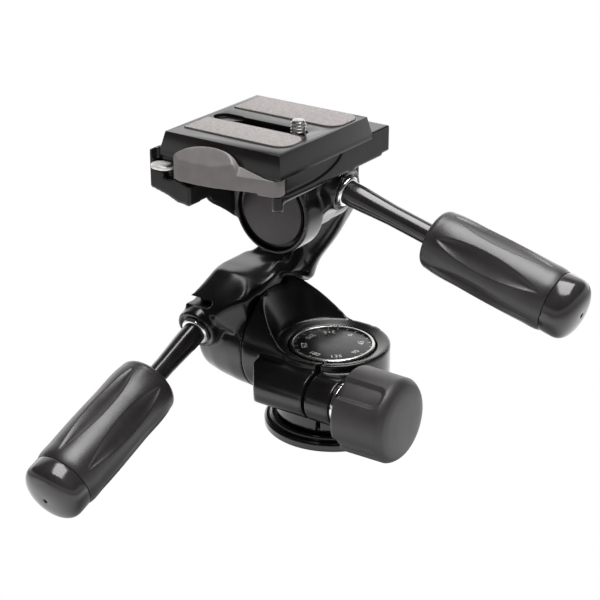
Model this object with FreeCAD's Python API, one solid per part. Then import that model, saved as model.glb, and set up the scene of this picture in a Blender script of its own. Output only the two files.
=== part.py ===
"""Three-way pan and tilt tripod head: every physical piece as its own solid.

Frame: millimetres, +Z up.  The origin is the mouth of the base's tripod thread, on the pan axis.
+X runs along the front-tilt axis towards the pan knob, +Y is the way the lens looks, -Y is
the photographer's side.  The head stacks three joints: the pan ring turns about Z on the base
drum, the tilt arm turns about X on the front-tilt spindle, and the plate receiver turns about Y
on the side-tilt spindle.
"""

import FreeCAD, Part
import math
import os

V = FreeCAD.Vector
X_AXIS = V(1, 0, 0)
Y_AXIS = V(0, 1, 0)
Z_AXIS = V(0, 0, 1)

# ---------------------------------------------------------------- driving dimensions
RUN = 0.05                # radial clearance of every running fit
GAP = 0.3                 # clearance between faces that pass each other
EPS = 0.5                 # how far a cutting tool reaches past a face

# base: flange, neck and drum in one casting
FLANGE_R = 30.0
FLANGE_T = 4.2
TIER_R = 27.2             # step on top of the flange
TIER_Z = 6.0
DRUM_FOOT_Z = 6.4         # where the neck ends and the drum begins
DRUM_R = 18.95
WASHER_PLAY = 0.3         # between the thrust washer and the drum
WASHER_W = 2.55           # width of the thrust washer
BASE_NECK_R = DRUM_R + WASHER_PLAY + WASHER_W + 0.2
THREAD_R = 3.97           # minor radius of 3/8-16 UNC
THREAD_DEPTH = 13.0
INSERT_R = 7.0            # steel insert that carries the tripod thread
SNAP_Z = 30.7             # snap ring that keeps the pan ring on its drum
SNAP_T = 1.2
SNAP_OUT = 1.6            # how far the snap ring stands out of the drum
SNAP_IN = 1.5             # how deep it sits in the drum

# dial on top of the drum
BEZEL_R = DRUM_R - 0.35
BEZEL_W = 1.5
DIAL_Z = 37.4             # face of the graduated disc
DIAL_T = 1.2
BEZEL_TOP = 38.2
BEZEL_IN_R = 14.1         # inside of the ledge that carries the disc
DRUM_TOP = 34.6

# pan ring and its clamp
PAN_SLEEVE_T = 1.0
PAN_WALL = 5.2            # wall of the ring outside its sleeve
PAN_RING_R = DRUM_R + RUN + PAN_SLEEVE_T + PAN_WALL
PAN_RING_Z0 = 7.0
PAN_RING_Z1 = 39.0
RIM_Z0 = 37.4             # the ring's top is dished from its edge down to here
RIM_EDGE = 1.4
RIM_GAP = 0.8             # groove between the bezel and the rim
CLAMP_Z = 25.0
EAR_R = 10.4
EAR_LEFT_X = -21.5
EAR_CHAMFER = 5.0
CLAMP_SLIT_X = 8.3        # middle of the slit between the ears
CLAMP_SLIT_W = 1.6
EAR_RIGHT_X = 21.2
STUD_R = 4.0
CLAMP_Y = -(DRUM_R + RUN + PAN_SLEEVE_T + 1.0 + STUD_R)    # clamp screw axis, along X
KNOB_WASHER_T = 1.6
KNOB_WASHER_R = 9.4

# pan knob
KNOB_R = 18.3
KNOB_FOOT_R = 18.6        # radius at the end next to the clamp
KNOB_LEN = 25.6
KNOB_NECK = 4.3           # plain hub between washer and rubber
KNOB_HUB_R = 9.0
KNOB_HUB_LEN = 24.6
KNOB_FLUTES = 4
KNOB_FLUTE_R = 15.0
KNOB_FLUTE_DEPTH = 1.6
KNOB_FLUTE_LEN = 14.5     # straight part of a flute, before its rounded end
KNOB_FLUTE_TURN = 128.0   # direction of the first flute, from +Y towards +Z
STUD_IN_HUB = 20.0

# front tilt: spindle along X, clamped by the arm
TILT_Z = 33.0             # height of the front-tilt axis
HOUSING_R = 24.0
BACK_R = HOUSING_R + 2.2  # the housing bulges behind and above the joint, less towards the dial
BACK_END_R = HOUSING_R - 3.0
SWEEP_R = HOUSING_R + 5.6 # the arm stays outside this radius where it passes the housing
PLATE_SWING_X = -31.8     # the plate swings down past the arm left of here and above PLATE_SWING_Z
PLATE_SWING_Z = 65.4
BACK_Y = 2.4
BACK_Z = 34.4
SCOOP_R = PAN_RING_R - 0.8    # foot of the dish round the dial
SCOOP_SLOPE = 0.42
SCOOP_OVER = 8.0
SEAM_X = -32.0            # joint face between pan housing and arm
SPINDLE_R = 14.0
SPINDLE_STUB_R = 8.5      # stub of the spindle that sits in the housing
SPINDLE_SEAT = 4.4
SPINDLE_BOLT_END = 10.0   # how far the bolt reaches into the housing
SLEEVE_T = 1.0
ARM_END_X = -60.0         # free end of the arm's collar
CAP_R = SPINDLE_R + 0.7   # cap disc on a spindle's free end
CAP_T = 2.0
CAP_RING = 2.1            # dark gap round a cap disc
BOLT_R = 3.0
BOLT_HEAD_R = 5.0
BOLT_HEAD_H = 5.0
SIDE_BOLT_HEAD_R = 6.6
HEX_R = 2.9               # corner radius of the hexagon socket

# side tilt: spindle along Y, clamped by the receiver
SIDE_X = -13.6
SIDE_Z = 103.8
SIDE_SPINDLE_R = 10.5
SIDE_STUB_R = 8.0         # part of the spindle inside the arm's eye
SIDE_RING_R = 18.5
SIDE_RING_LEN = 12.6
SIDE_HUB_R = 14.2         # barrel behind the ring
SIDE_FRONT_Y = -26.7      # front face of the receiver's ring
NECK_Y0 = 15.6            # front face of the arm's neck
NECK_Y1 = 23.6
SHOULDER_Z = 63.4         # flat top of the arm's shoulder, in front of the neck
EYE_R = 12.0

# quick-release plate
PLATE_X = -13.6
PLATE_Y = -28.2
PLATE_LX = 55.6
PLATE_LY = 61.5
PLATE_TOP = 142.0
PLATE_T = 9.5               # floor of the receiver lies this far, and PLATE_GAP, under its top
PLATE_GAP = 0.1
PLATE_FLARE = 1.6         # how much wider the plate is at its foot
SLOT_Y = -30.0            # slot for the camera screw
SLOT_R = 3.55
SLOT_X0 = -26.0           # centres of the slot's round ends
SLOT_X1 = 3.2
KEY_X = -31.5             # oval recess at the slot's left end
KEY_R = 4.3
KEY_HALF = 2.7
KEY_DEPTH = 1.4
POCKET_Z = 138.0          # ceiling of the pocket under the plate
POCKET_HALF = 8.3
POCKET_X0 = -38.0
POCKET_X1 = 12.6
PAD_T = 1.0
PAD_PROUD = 0.5
PAD_INSET = 3.0           # from the plate's left edge to both pads
FRONT_PAD_X1 = 11.0       # tips of the rounded right ends
REAR_PAD_X1 = 12.4
PAD_END_R = 6.4
SCREW_R = 3.175           # 1/4-20 UNC
SCREW_NECK_R = 2.4        # plain neck that keeps the screw in its slider
SCREW_THREAD = 4.0        # threaded length above the pads
SCREW_X = 2.8
SCREW_TOP = 147.2
SCREW_TIP = 0.6           # chamfer at the tip
SCREW_HEAD_R = 6.6
SCREW_HEAD_T = 2.6
SLIDER_LX = 13.6
SLIDER_T = 1.8

# receiver under the plate
FLOOR_Z = PLATE_TOP - PLATE_T - PLATE_GAP
RECEIVER_Z0 = 122.0
RECEIVER_X0 = -51.6
RECEIVER_X1 = 14.0
RECEIVER_Y0 = -53.4
RECEIVER_Y1 = 15.0
JAW_Y1 = 20.6
JAW_X0 = -25.0
JAW_TOP = 134.0
LATCH_Y0 = -57.4          # front face of the latch housing at the left corner
LATCH_X1 = -31.4
LATCH_STEP = 4.6          # how far the upper slab stands back over the catch
LATCH_WALL = 1.1          # thin wall left of the catch
RAIL_RECESS = 0.8         # depth of the recess in the wall on the knob's side

# release lever and safety catch
POST_X = 11.6             # pivot of the lever, along Z
POST_Y = -56.6
POST_R = 1.25
POST_HEAD_R = 2.0
POST_HEAD_H = 0.7
LUG_R = 2.3               # lug of the receiver that hangs below the lever's end
LUG_FOOT_Z = 118.4
RAIL_Z0 = 121.8           # underside of the receiver's front rail
LEVER_Z0 = 125.3
LEVER_TOP = 132.1
CATCH_X = -45.2
CATCH_Y = -56.8
CATCH_R = 3.8
CATCH_HALF = 1.2
CATCH_Z0 = 125.3
CATCH_T = 1.6
SPRING_R = 1.5
SPRING_WIRE_R = 0.3
SPRING_TURNS = 5

# handles: (a point of the axis, slope) and lengths from the boss face
TILT_HANDLE_X = -52.0
TILT_HANDLE_Z = 53.0      # height of its axis over the pan axis
TILT_HANDLE_SLOPE = 21.1
TILT_SLIT_Z = 52.4        # clamp slit above the handle's boss
TILT_SLIT_W = 2.2
TILT_BOSS = 31.0          # distance from the plane y = 0 to the boss face, along the axis
TILT_ROD_FREE = 35.6      # rod between boss and grip
TILT_GRIP_LEN = 72.0
TILT_GRIP_R = 14.6
SIDE_HANDLE_Y = -8.0
SIDE_HANDLE_Z = 119.3     # height of its axis over the side-tilt axis
SIDE_HANDLE_SLOPE = 14.8
SIDE_BOSS = 25.0          # distance from the side-tilt axis to the boss face, along the axis
SIDE_ROD_FREE = 45.0
SIDE_GRIP_LEN = 68.0
SIDE_GRIP_R = 13.3
SHANK_R = 4.0             # threaded end of a handle rod
ROD_R = 4.4
ROD_ROOT_R = 5.2
COLLAR_R = 6.6
COLLAR_T = 2.2
ROD_IN_GRIP = 40.0
GRIP_CAP_LEN = 12.0
SCALLOPS = 6
SCALLOP_R = 8.0
SCALLOP_DEPTH = 0.9
PLUG_R = 6.0              # locking plug that bites the spindle
PLUG_LEN = 13.0
TILT_BOSS_R = 9.8
SIDE_BOSS_R = 9.2
BOSS_RIM = 1.2            # how far a boss's rim stands round the handle's collar
BITE = 0.1                # free play between plug and spindle

parts = {}


# ---------------------------------------------------------------- helpers
def cyl(radius, length, start, direction=Z_AXIS):
    return Part.makeCylinder(radius, length, start, direction)


def tube(outer, inner, length, start, direction=Z_AXIS):
    hole_start = start - direction * EPS
    return cyl(outer, length, start, direction).cut(cyl(inner, length + 2 * EPS, hole_start, direction))


def box(x0, x1, y0, y1, z0, z1):
    return Part.makeBox(x1 - x0, y1 - y0, z1 - z0, V(x0, y0, z0))


def turned(profile):
    """Solid of revolution about Z from (radius, height) points."""
    points = [V(r, 0, z) for r, z in profile]
    wire = Part.makePolygon(points + [points[0]])
    return Part.Face(wire).revolve(V(0, 0, 0), Z_AXIS, 360)


def prism(points, direction):
    wire = Part.makePolygon(points + [points[0]])
    return Part.Face(wire).extrude(direction)


def curve(points):
    """Smooth edge through points."""
    spline = Part.BSplineCurve()
    spline.interpolate(points)
    return spline.toShape()


def curved_prism(curves, direction):
    """Extrude the outline made of smooth runs of points, joined end to end by straight edges."""
    edges = []
    for index, run in enumerate(curves):
        edges.append(curve(run))
        following = curves[(index + 1) % len(curves)]
        if run[-1].distanceToPoint(following[0]) > 1e-6:
            edges.append(Part.makeLine(run[-1], following[0]))
    return Part.Face(Part.Wire(edges)).extrude(direction)


def slot_solid(half, radius, height, middle):
    """Bar along X with round ends, standing along +Z from its middle point."""
    left = middle - X_AXIS * half
    right = middle + X_AXIS * half
    bar = box(left.x, right.x, middle.y - radius, middle.y + radius, middle.z, middle.z + height)
    return fused([bar, cyl(radius, height, left), cyl(radius, height, right)])


def aimed(shape, origin, direction):
    """Move a shape built along +Z from the origin so that it runs along a direction."""
    moved = shape.copy()
    turn = FreeCAD.Rotation(Z_AXIS, direction)
    moved.Placement = FreeCAD.Placement(origin, turn).multiply(shape.Placement)
    return moved


def fused(shapes):
    whole = shapes[0]
    for shape in shapes[1:]:
        whole = whole.fuse(shape)
    return whole.removeSplitter()


def coil(radius, wire_r, length, turns, start, direction):
    """Helical spring whose wire fills the given length."""
    pitch = (length - 2 * wire_r) / turns
    path = Part.makeHelix(pitch, pitch * turns, radius)
    heading = V(0, 2 * math.pi * radius, pitch)
    section = Part.Wire([Part.Circle(V(radius, 0, 0), heading, wire_r).toShape()])
    spring = Part.Wire(path).makePipeShell([section], True, True)
    return aimed(spring, start + direction * wire_r, direction)


def keep(name, shape):
    solids = shape.Solids
    if len(solids) == 1:
        shape = solids[0]
    parts[name] = shape


# ---------------------------------------------------------------- base
def base_flange():
    groove_z0 = SNAP_Z - 0.1
    groove_z1 = SNAP_Z + SNAP_T + 0.1
    groove_r = DRUM_R - SNAP_IN
    profile = [
        (INSERT_R, 0), (FLANGE_R - 0.6, 0), (FLANGE_R, 0.6), (FLANGE_R, FLANGE_T - 1.0),
        (FLANGE_R - 1.0, FLANGE_T), (TIER_R + 0.5, FLANGE_T), (TIER_R, FLANGE_T + 0.5),
        (TIER_R, TIER_Z - 0.7), (TIER_R - 0.7, TIER_Z), (BASE_NECK_R, TIER_Z),
        (BASE_NECK_R, DRUM_FOOT_Z), (DRUM_R, DRUM_FOOT_Z), (DRUM_R, groove_z0),
        (groove_r, groove_z0), (groove_r, groove_z1), (DRUM_R, groove_z1),
        (DRUM_R, DRUM_TOP - 0.8), (DRUM_R - 0.8, DRUM_TOP), (0, DRUM_TOP), (0, THREAD_DEPTH),
        (INSERT_R, THREAD_DEPTH),
    ]
    keep("base_flange", turned(profile))
    keep("thread_insert", tube(INSERT_R, THREAD_R, THREAD_DEPTH, V(0, 0, 0)))


def snap_ring():
    ring = tube(DRUM_R + SNAP_OUT, DRUM_R - SNAP_IN + RUN, SNAP_T, V(0, 0, SNAP_Z))
    opening = box(0, DRUM_R + 5, -2.5, 2.5, SNAP_Z - EPS, SNAP_Z + SNAP_T + EPS)
    keep("pan_snap_ring", ring.cut(opening))


def thrust_washer():
    thickness = PAN_RING_Z0 - DRUM_FOOT_Z - 0.1
    inner = DRUM_R + WASHER_PLAY
    keep("pan_thrust_washer", tube(inner + WASHER_W, inner, thickness, V(0, 0, DRUM_FOOT_Z)))


def dial():
    disc_r = BEZEL_R - BEZEL_W
    disc_z = DIAL_Z - DIAL_T
    keep("dial_disc", cyl(disc_r, DIAL_T, V(0, 0, disc_z)))
    ring = turned([
        (disc_r, disc_z), (disc_r, BEZEL_TOP - 0.3), (disc_r + 0.3, BEZEL_TOP),
        (BEZEL_R - 0.5, BEZEL_TOP), (BEZEL_R, BEZEL_TOP - 0.5), (BEZEL_R, DRUM_TOP),
        (BEZEL_IN_R, DRUM_TOP), (BEZEL_IN_R, disc_z),
    ])
    keep("dial_bezel", ring)


# ---------------------------------------------------------------- pan housing and its clamp
def front_tilt_point(x):
    return V(x, 0, TILT_Z)


def clamp_point(x):
    return V(x, CLAMP_Y, CLAMP_Z)


def scoop():
    """Conical dish round the dial that leaves the back wall of the housing."""
    height = TILT_Z + HOUSING_R + SCOOP_OVER - PAN_RING_Z1
    return Part.makeCone(SCOOP_R, SCOOP_R + height * SCOOP_SLOPE, height, V(0, 0, PAN_RING_Z1))


def clamp_ears():
    blank = cyl(EAR_R, EAR_RIGHT_X - EAR_LEFT_X, clamp_point(EAR_LEFT_X), X_AXIS)
    web = box(EAR_LEFT_X, EAR_RIGHT_X, CLAMP_Y, -12.0, CLAMP_Z - EAR_R, CLAMP_Z + EAR_R - 0.6)
    front_y = CLAMP_Y - EAR_R
    corner = prism([
        V(EAR_LEFT_X - EPS, front_y - 1, 0), V(EAR_LEFT_X + EAR_CHAMFER, front_y - 1, 0),
        V(EAR_LEFT_X - EPS, front_y + EAR_CHAMFER * 1.4, 0),
    ], V(0, 0, 60))
    return blank.fuse(web).cut(corner)


def clamp_slit(y1, z1):
    half = CLAMP_SLIT_W / 2
    return box(CLAMP_SLIT_X - half, CLAMP_SLIT_X + half, CLAMP_Y - EAR_R - 2, y1, PAN_RING_Z0 - EPS, z1)


def pan_housing():
    ring = cyl(PAN_RING_R, PAN_RING_Z1 - PAN_RING_Z0, V(0, 0, PAN_RING_Z0))
    barrel = cyl(HOUSING_R, -SEAM_X, front_tilt_point(SEAM_X), X_AXIS)
    back_x = SEAM_X + 1.2
    back = Part.makeCone(BACK_R, BACK_END_R, -back_x, V(back_x, BACK_Y, BACK_Z), X_AXIS)
    body = ring.fuse([barrel, back, clamp_ears()]).cut(scoop())
    body = body.cut(box(-60, 60, -60, 60, PAN_RING_Z0 - 30, PAN_RING_Z0))
    sleeve_r = DRUM_R + RUN + PAN_SLEEVE_T
    bore = cyl(sleeve_r, 60, V(0, 0, PAN_RING_Z0 - EPS))
    lip_h = PAN_RING_Z1 - DRUM_TOP
    bore = bore.cut(tube(sleeve_r + 1, BEZEL_R + RIM_GAP, lip_h, V(0, 0, DRUM_TOP)))
    groove = cyl(DRUM_R + SNAP_OUT + GAP, SNAP_T + 2 * GAP, V(0, 0, SNAP_Z - GAP))
    dish_h = PAN_RING_Z1 - RIM_Z0
    dish = Part.makeCone(BEZEL_R + RIM_GAP, PAN_RING_R - RIM_EDGE, dish_h, V(0, 0, RIM_Z0))
    body = body.cut(bore).cut(groove).cut(dish)
    body = body.cut(clamp_slit(-14.0, PAN_RING_Z1 + EPS))
    stud_x = EAR_LEFT_X + 5
    body = body.cut(cyl(STUD_R + RUN, EAR_RIGHT_X - stud_x + EPS, clamp_point(stud_x), X_AXIS))
    body = body.cut(cyl(KNOB_WASHER_R + 0.6, 5.0, clamp_point(EAR_RIGHT_X), X_AXIS))
    body = body.cut(cyl(SPINDLE_STUB_R, SPINDLE_SEAT, front_tilt_point(SEAM_X), X_AXIS))
    body = body.cut(cyl(BOLT_R, SPINDLE_BOLT_END, front_tilt_point(SEAM_X), X_AXIS))
    keep("pan_housing", body)


def pan_sleeve():
    height = SNAP_Z - 0.5 - PAN_RING_Z0
    inner = DRUM_R + RUN
    sleeve = tube(inner + PAN_SLEEVE_T, inner, height, V(0, 0, PAN_RING_Z0))
    keep("pan_sleeve", sleeve.cut(clamp_slit(-10.0, SNAP_Z + EPS)))


def pan_knob():
    washer_x = EAR_RIGHT_X
    keep("knob_washer", tube(KNOB_WASHER_R, STUD_R + RUN, KNOB_WASHER_T, clamp_point(washer_x), X_AXIS))
    hub_x = washer_x + KNOB_WASHER_T + 0.1
    stud_x = EAR_LEFT_X + 5.3
    keep("pan_clamp_stud", cyl(STUD_R, hub_x + STUD_IN_HUB - stud_x, clamp_point(stud_x), X_AXIS))
    core = cyl(KNOB_HUB_R, KNOB_HUB_LEN, clamp_point(hub_x), X_AXIS)
    keep("knob_core", core.cut(cyl(STUD_R, STUD_IN_HUB, clamp_point(hub_x), X_AXIS)))
    grip = turned([
        (0, 0), (KNOB_FOOT_R - 2.0, 0), (KNOB_FOOT_R - 0.6, 0.5), (KNOB_FOOT_R, 1.8),
        (KNOB_R, KNOB_LEN - 4.6), (KNOB_R - 0.9, KNOB_LEN - 3.0), (KNOB_R - 2.2, KNOB_LEN - 1.5),
        (KNOB_R - 5.0, KNOB_LEN - 0.5), (0, KNOB_LEN),
    ])
    flute_offset = KNOB_R + KNOB_FLUTE_R - KNOB_FLUTE_DEPTH
    for index in range(KNOB_FLUTES):
        angle = 2 * math.pi * index / KNOB_FLUTES
        foot = V(flute_offset * math.cos(angle), flute_offset * math.sin(angle), -EPS)
        grip = grip.cut(cyl(KNOB_FLUTE_R, KNOB_FLUTE_LEN + EPS, foot))
        grip = grip.cut(Part.makeSphere(KNOB_FLUTE_R, foot + Z_AXIS * (KNOB_FLUTE_LEN + EPS)))
    grip = grip.cut(cyl(KNOB_HUB_R, KNOB_HUB_LEN - KNOB_NECK + EPS, V(0, 0, -EPS)))
    grip = aimed(grip, V(0, 0, 0), X_AXIS)
    flute_now = grip_flute_direction()
    grip.rotate(V(0, 0, 0), X_AXIS, KNOB_FLUTE_TURN - flute_now)
    grip.translate(clamp_point(hub_x + KNOB_NECK))
    keep("knob_grip", grip)


def grip_flute_direction():
    """Where the first flute, cut on +X, points in the YZ plane once +Z is turned onto +X."""
    pointed = FreeCAD.Rotation(Z_AXIS, X_AXIS).multVec(X_AXIS)
    return math.degrees(math.atan2(pointed.z, pointed.y))


# ---------------------------------------------------------------- front tilt
def front_spindle():
    start_x = ARM_END_X + CAP_T + 1.0
    length = SEAM_X - start_x
    start = front_tilt_point(start_x)
    spindle = cyl(SPINDLE_R, length, start, X_AXIS)
    spindle = fused([spindle, cyl(SPINDLE_STUB_R, SPINDLE_SEAT, front_tilt_point(SEAM_X), X_AXIS)])
    spindle = spindle.cut(cyl(BOLT_HEAD_R, BOLT_HEAD_H, start, X_AXIS))
    spindle = spindle.cut(cyl(BOLT_R, length + SPINDLE_SEAT, start, X_AXIS))
    keep("front_tilt_spindle", spindle)
    head = cyl(BOLT_HEAD_R - 0.1, BOLT_HEAD_H - 0.2, start + X_AXIS * 0.2, X_AXIS)
    bolt_end_x = SEAM_X + SPINDLE_BOLT_END
    shank = cyl(BOLT_R, bolt_end_x - start_x - 1.0, start + X_AXIS, X_AXIS)
    keep("front_spindle_bolt", fused([head, shank]))
    cap_start = front_tilt_point(start_x - CAP_T)
    keep("front_spindle_cap", cyl(CAP_R, CAP_T, cap_start, X_AXIS))


def tilt_handle_direction():
    slope = math.radians(TILT_HANDLE_SLOPE)
    return V(0, -math.cos(slope), -math.sin(slope))


def tilt_handle_point(distance):
    return V(TILT_HANDLE_X, 0, TILT_HANDLE_Z) + tilt_handle_direction() * distance


def side_handle_direction():
    slope = math.radians(SIDE_HANDLE_SLOPE)
    return V(math.cos(slope), 0, -math.sin(slope))


def side_handle_point(distance):
    return V(SIDE_X, SIDE_HANDLE_Y, SIDE_HANDLE_Z) + side_handle_direction() * distance


def bored(radius, start, length, point, direction):
    """Round cutter along a handle's axis, from one distance along it."""
    return aimed(cyl(radius, length, V(0, 0, 0)), point(start), direction)


def arm_neck():
    """Slanting wall behind the receiver that carries the eye of the side-tilt spindle."""
    y = NECK_Y0
    left = [
        V(-57.6, y, 42.0), V(-57.8, y, 56.0), V(-55.6, y, 63.0), V(-50.0, y, 67.6), V(-43.0, y, 72.4),
        V(-36.0, y, 79.4), V(-30.6, y, 88.0), V(-26.6, y, 97.0), V(SIDE_X - EYE_R, y, SIDE_Z),
    ]
    right = [
        V(SIDE_X + EYE_R, y, SIDE_Z), V(-2.8, y, 97.0), V(-5.6, y, 90.0), V(-9.6, y, 82.0),
        V(-15.0, y, 73.6), V(-20.0, y, 66.6), V(-22.8, y, 61.0), V(-24.0, y, 56.0),
    ]
    foot = [V(-24.0, y, 56.0), V(-29.0, y, 50.0), V(-32.4, y, 38.0)]
    wall = curved_prism([left, right, foot], V(0, NECK_Y1 - y, 0))
    eye = cyl(EYE_R, NECK_Y1 - y, V(SIDE_X, y, SIDE_Z), Y_AXIS)
    return fused([wall, eye])


def arm_shoulder():
    """Block over the collar: its roof climbs from the handle boss to a flat top before the neck."""
    x = -58.4
    roof = [
        V(x, -29.5, 50.6), V(x, -24.0, 55.4), V(x, -20.0, 57.0), V(x, -16.0, 58.7), V(x, -12.0, 60.5),
        V(x, -9.0, 61.9), V(x, -6.5, 62.8), V(x, -3.0, SHOULDER_Z - 0.1), V(x, 4.0, SHOULDER_Z),
        V(x, NECK_Y0 + 0.6, SHOULDER_Z + 0.2),
    ]
    rear = [
        V(x, NECK_Y0 + 0.6, SHOULDER_Z + 0.2), V(x, NECK_Y0 + 1.6, 50.0), V(x, NECK_Y0 + 1.6, 36.0),
    ]
    belly = [
        V(x, NECK_Y0 + 1.6, 36.0), V(x, 0.0, 36.0), V(x, -18.0, 39.0), V(x, -26.0, 44.0), V(x, -29.5, 50.6),
    ]
    block = curved_prism([roof, rear, belly], V(26.0, 0, 0))
    slant = prism([V(-45.3, -40, 66.0), V(-32.0, -40, 57.4), V(-32.0, -40, 70.0)], V(0, 50.0, 0))
    front = prism([V(-60.0, -32.0, 30.0), V(-44.0, -32.0, 30.0), V(-31.0, -17.0, 30.0), V(-31.0, -40, 30.0),
                   V(-60.0, -40, 30.0)], V(0, 0, 40.0))
    return block.cut(slant).cut(front)


def arm_gusset():
    """Saddle that runs from the shoulder's roof into the neck, low where the plate swings past."""
    low = Part.makePolygon([V(-57.0, -8, 58.5), V(-57.0, 17, SHOULDER_Z), V(-57.0, 17, 45), V(-57.0, -8, 58.5)])
    mid = Part.makePolygon([V(-33.0, -8, 57.0), V(-33.0, 17, 65.4), V(-33.0, 17, 45), V(-33.0, -8, 57.0)])
    saddle = Part.makeLoft([low, mid], True, True)
    x = -37.0
    crest = [V(x, 17.0, 77.0), V(x, 13.0, 69.0), V(x, 7.0, 63.6), V(x, 0.0, 60.6), V(x, -6.0, 59.2)]
    heel = [V(x, -6.0, 59.2), V(x, 4.0, 58.8), V(x, 17.0, 58.8)]
    rib = curved_prism([crest, heel], V(11.2, 0, 0))
    swing = box(x - 1, PLATE_SWING_X, -20.0, NECK_Y0 - 0.6, PLATE_SWING_Z, 90.0)
    return [saddle, rib.cut(swing)]


def tilt_arm():
    collar = turned([
        (0, 0), (HOUSING_R - 6.4, 0), (HOUSING_R - 3.8, 1.4), (HOUSING_R - 3.0, 3.6),
        (HOUSING_R - 1.6, 10.0), (HOUSING_R - 0.4, 20.0),
        (HOUSING_R, SEAM_X - GAP - ARM_END_X), (0, SEAM_X - GAP - ARM_END_X),
    ])
    collar = aimed(collar, front_tilt_point(ARM_END_X), X_AXIS)
    direction = tilt_handle_direction()
    boss = bored(TILT_BOSS_R, TILT_BOSS - 26.0, 26.0 + BOSS_RIM, tilt_handle_point, direction)
    body = fused([collar, arm_shoulder(), arm_neck(), boss] + arm_gusset())
    slit_x0 = TILT_HANDLE_X - TILT_BOSS_R - EPS
    body = body.cut(box(slit_x0, TILT_HANDLE_X + 6.0, -42.0, -18.0, TILT_SLIT_Z, TILT_SLIT_Z + TILT_SLIT_W))
    body = body.cut(bored(COLLAR_R + BOSS_RIM, TILT_BOSS, BOSS_RIM + EPS, tilt_handle_point, direction))
    body = body.cut(cyl(SWEEP_R, 30.0, front_tilt_point(SEAM_X - GAP), X_AXIS))
    inner = SPINDLE_R + RUN + SLEEVE_T
    mouth_x = TILT_HANDLE_X - TILT_BOSS_R - EPS
    body = body.cut(cyl(inner, 40, front_tilt_point(mouth_x), X_AXIS))
    recess_end_x = ARM_END_X + CAP_T + 1.0 + GAP
    body = body.cut(cyl(CAP_R + CAP_RING, recess_end_x - mouth_x, front_tilt_point(mouth_x), X_AXIS))
    body = body.cut(cyl(SIDE_STUB_R, 20, V(SIDE_X, NECK_Y0 - EPS, SIDE_Z), Y_AXIS))
    body = body.cut(bored(SHANK_R + RUN, PLUG_LEN - 1, 60, tilt_handle_point, direction))
    body = body.cut(bored(PLUG_R + 0.1, -1, PLUG_LEN + 2, tilt_handle_point, direction))
    keep("tilt_arm", body)


def front_sleeve():
    inner = SPINDLE_R + RUN
    start_x = ARM_END_X + CAP_T + 1.2
    direction = tilt_handle_direction()
    sleeve = tube(inner + SLEEVE_T, inner, SEAM_X - 0.5 - start_x, front_tilt_point(start_x), X_AXIS)
    keep("front_tilt_sleeve", sleeve.cut(bored(PLUG_R + 0.1, -1, PLUG_LEN + 2, tilt_handle_point, direction)))
    plug = bored(PLUG_R, 0, PLUG_LEN, tilt_handle_point, direction)
    keep("front_lock_plug", plug.cut(cyl(SPINDLE_R + BITE, 60, front_tilt_point(-70), X_AXIS)))


# ---------------------------------------------------------------- side tilt
def side_tilt_point(y):
    return V(SIDE_X, y, SIDE_Z)


def side_spindle():
    front = SIDE_FRONT_Y + 1.0 + CAP_T
    seat = NECK_Y1 - 3.0
    body = fused([
        cyl(SIDE_SPINDLE_R, NECK_Y0 - front, side_tilt_point(front), Y_AXIS),
        cyl(SIDE_STUB_R, seat - NECK_Y0, side_tilt_point(NECK_Y0), Y_AXIS),
    ])
    bolt_in = 16.0
    keep("side_tilt_spindle", body.cut(cyl(BOLT_R, bolt_in, side_tilt_point(seat - bolt_in), Y_AXIS)))
    head = cyl(SIDE_BOLT_HEAD_R, 2.4, side_tilt_point(seat), Y_AXIS)
    shank = cyl(BOLT_R, bolt_in - 1.0, side_tilt_point(seat - bolt_in + 1.0), Y_AXIS)
    corners = []
    for index in range(6):
        angle = math.radians(60 * index)
        corners.append(V(SIDE_X + HEX_R * math.cos(angle), seat + 0.8, SIDE_Z + HEX_R * math.sin(angle)))
    keep("side_spindle_bolt", fused([head, shank]).cut(prism(corners, Y_AXIS * 4)))
    keep("side_spindle_cap", cyl(CAP_R, CAP_T, side_tilt_point(front - CAP_T), Y_AXIS))


def side_sleeve():
    inner = SIDE_SPINDLE_R + RUN
    start_y = SIDE_FRONT_Y + 1.2 + CAP_T
    direction = side_handle_direction()
    sleeve = tube(inner + SLEEVE_T, inner, NECK_Y0 - 0.6 - start_y, side_tilt_point(start_y), Y_AXIS)
    sleeve = sleeve.cut(bored(PLUG_R + 0.1, -7, PLUG_LEN + 1, side_handle_point, direction))
    keep("side_tilt_sleeve", sleeve.cut(bored(SHANK_R + 0.4, 5, 12, side_handle_point, direction)))
    plug = bored(PLUG_R, -6.5, PLUG_LEN, side_handle_point, direction)
    keep("side_lock_plug", plug.cut(cyl(SIDE_SPINDLE_R + BITE, 80, side_tilt_point(-50), Y_AXIS)))


# ---------------------------------------------------------------- receiver
def latch_block():
    """Corner of the receiver that houses the safety catch."""
    y = LATCH_Y0
    x0 = RECEIVER_X0
    face = [
        V(x0, y, 116.2), V(-43.2, y, 114.2), V(-37.6, y, 112.0), V(LATCH_X1, y, 111.4), V(LATCH_X1, y, 119.8),
        V(-41.0, y, 122.6), V(x0, y, 125.0),
    ]
    low = prism(face, V(0, 24.0, 0))
    upper = box(x0, -43.4, y + LATCH_STEP, -30.0, 120.0, FLOOR_Z)
    wall = box(x0, x0 + LATCH_WALL, y, -30.0, 120.0, FLOOR_Z)
    return [low, upper, wall]


def latch_web():
    """Curved wall from the latch block down to the left of the ring."""
    x = LATCH_X1
    top = [V(x, SIDE_FRONT_Y + 1.0, 122.6), V(x, -34.0, 122.6), V(x, -44.0, 122.6)]
    edge = [V(x, -44.0, 110.4), V(x, -41.0, 107.8), V(x, -36.8, 105.2), V(x, -31.6, 101.8), V(x, -25.7, 97.4)]
    return curved_prism([top, edge], V(-2.4, 0, 0))


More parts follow.
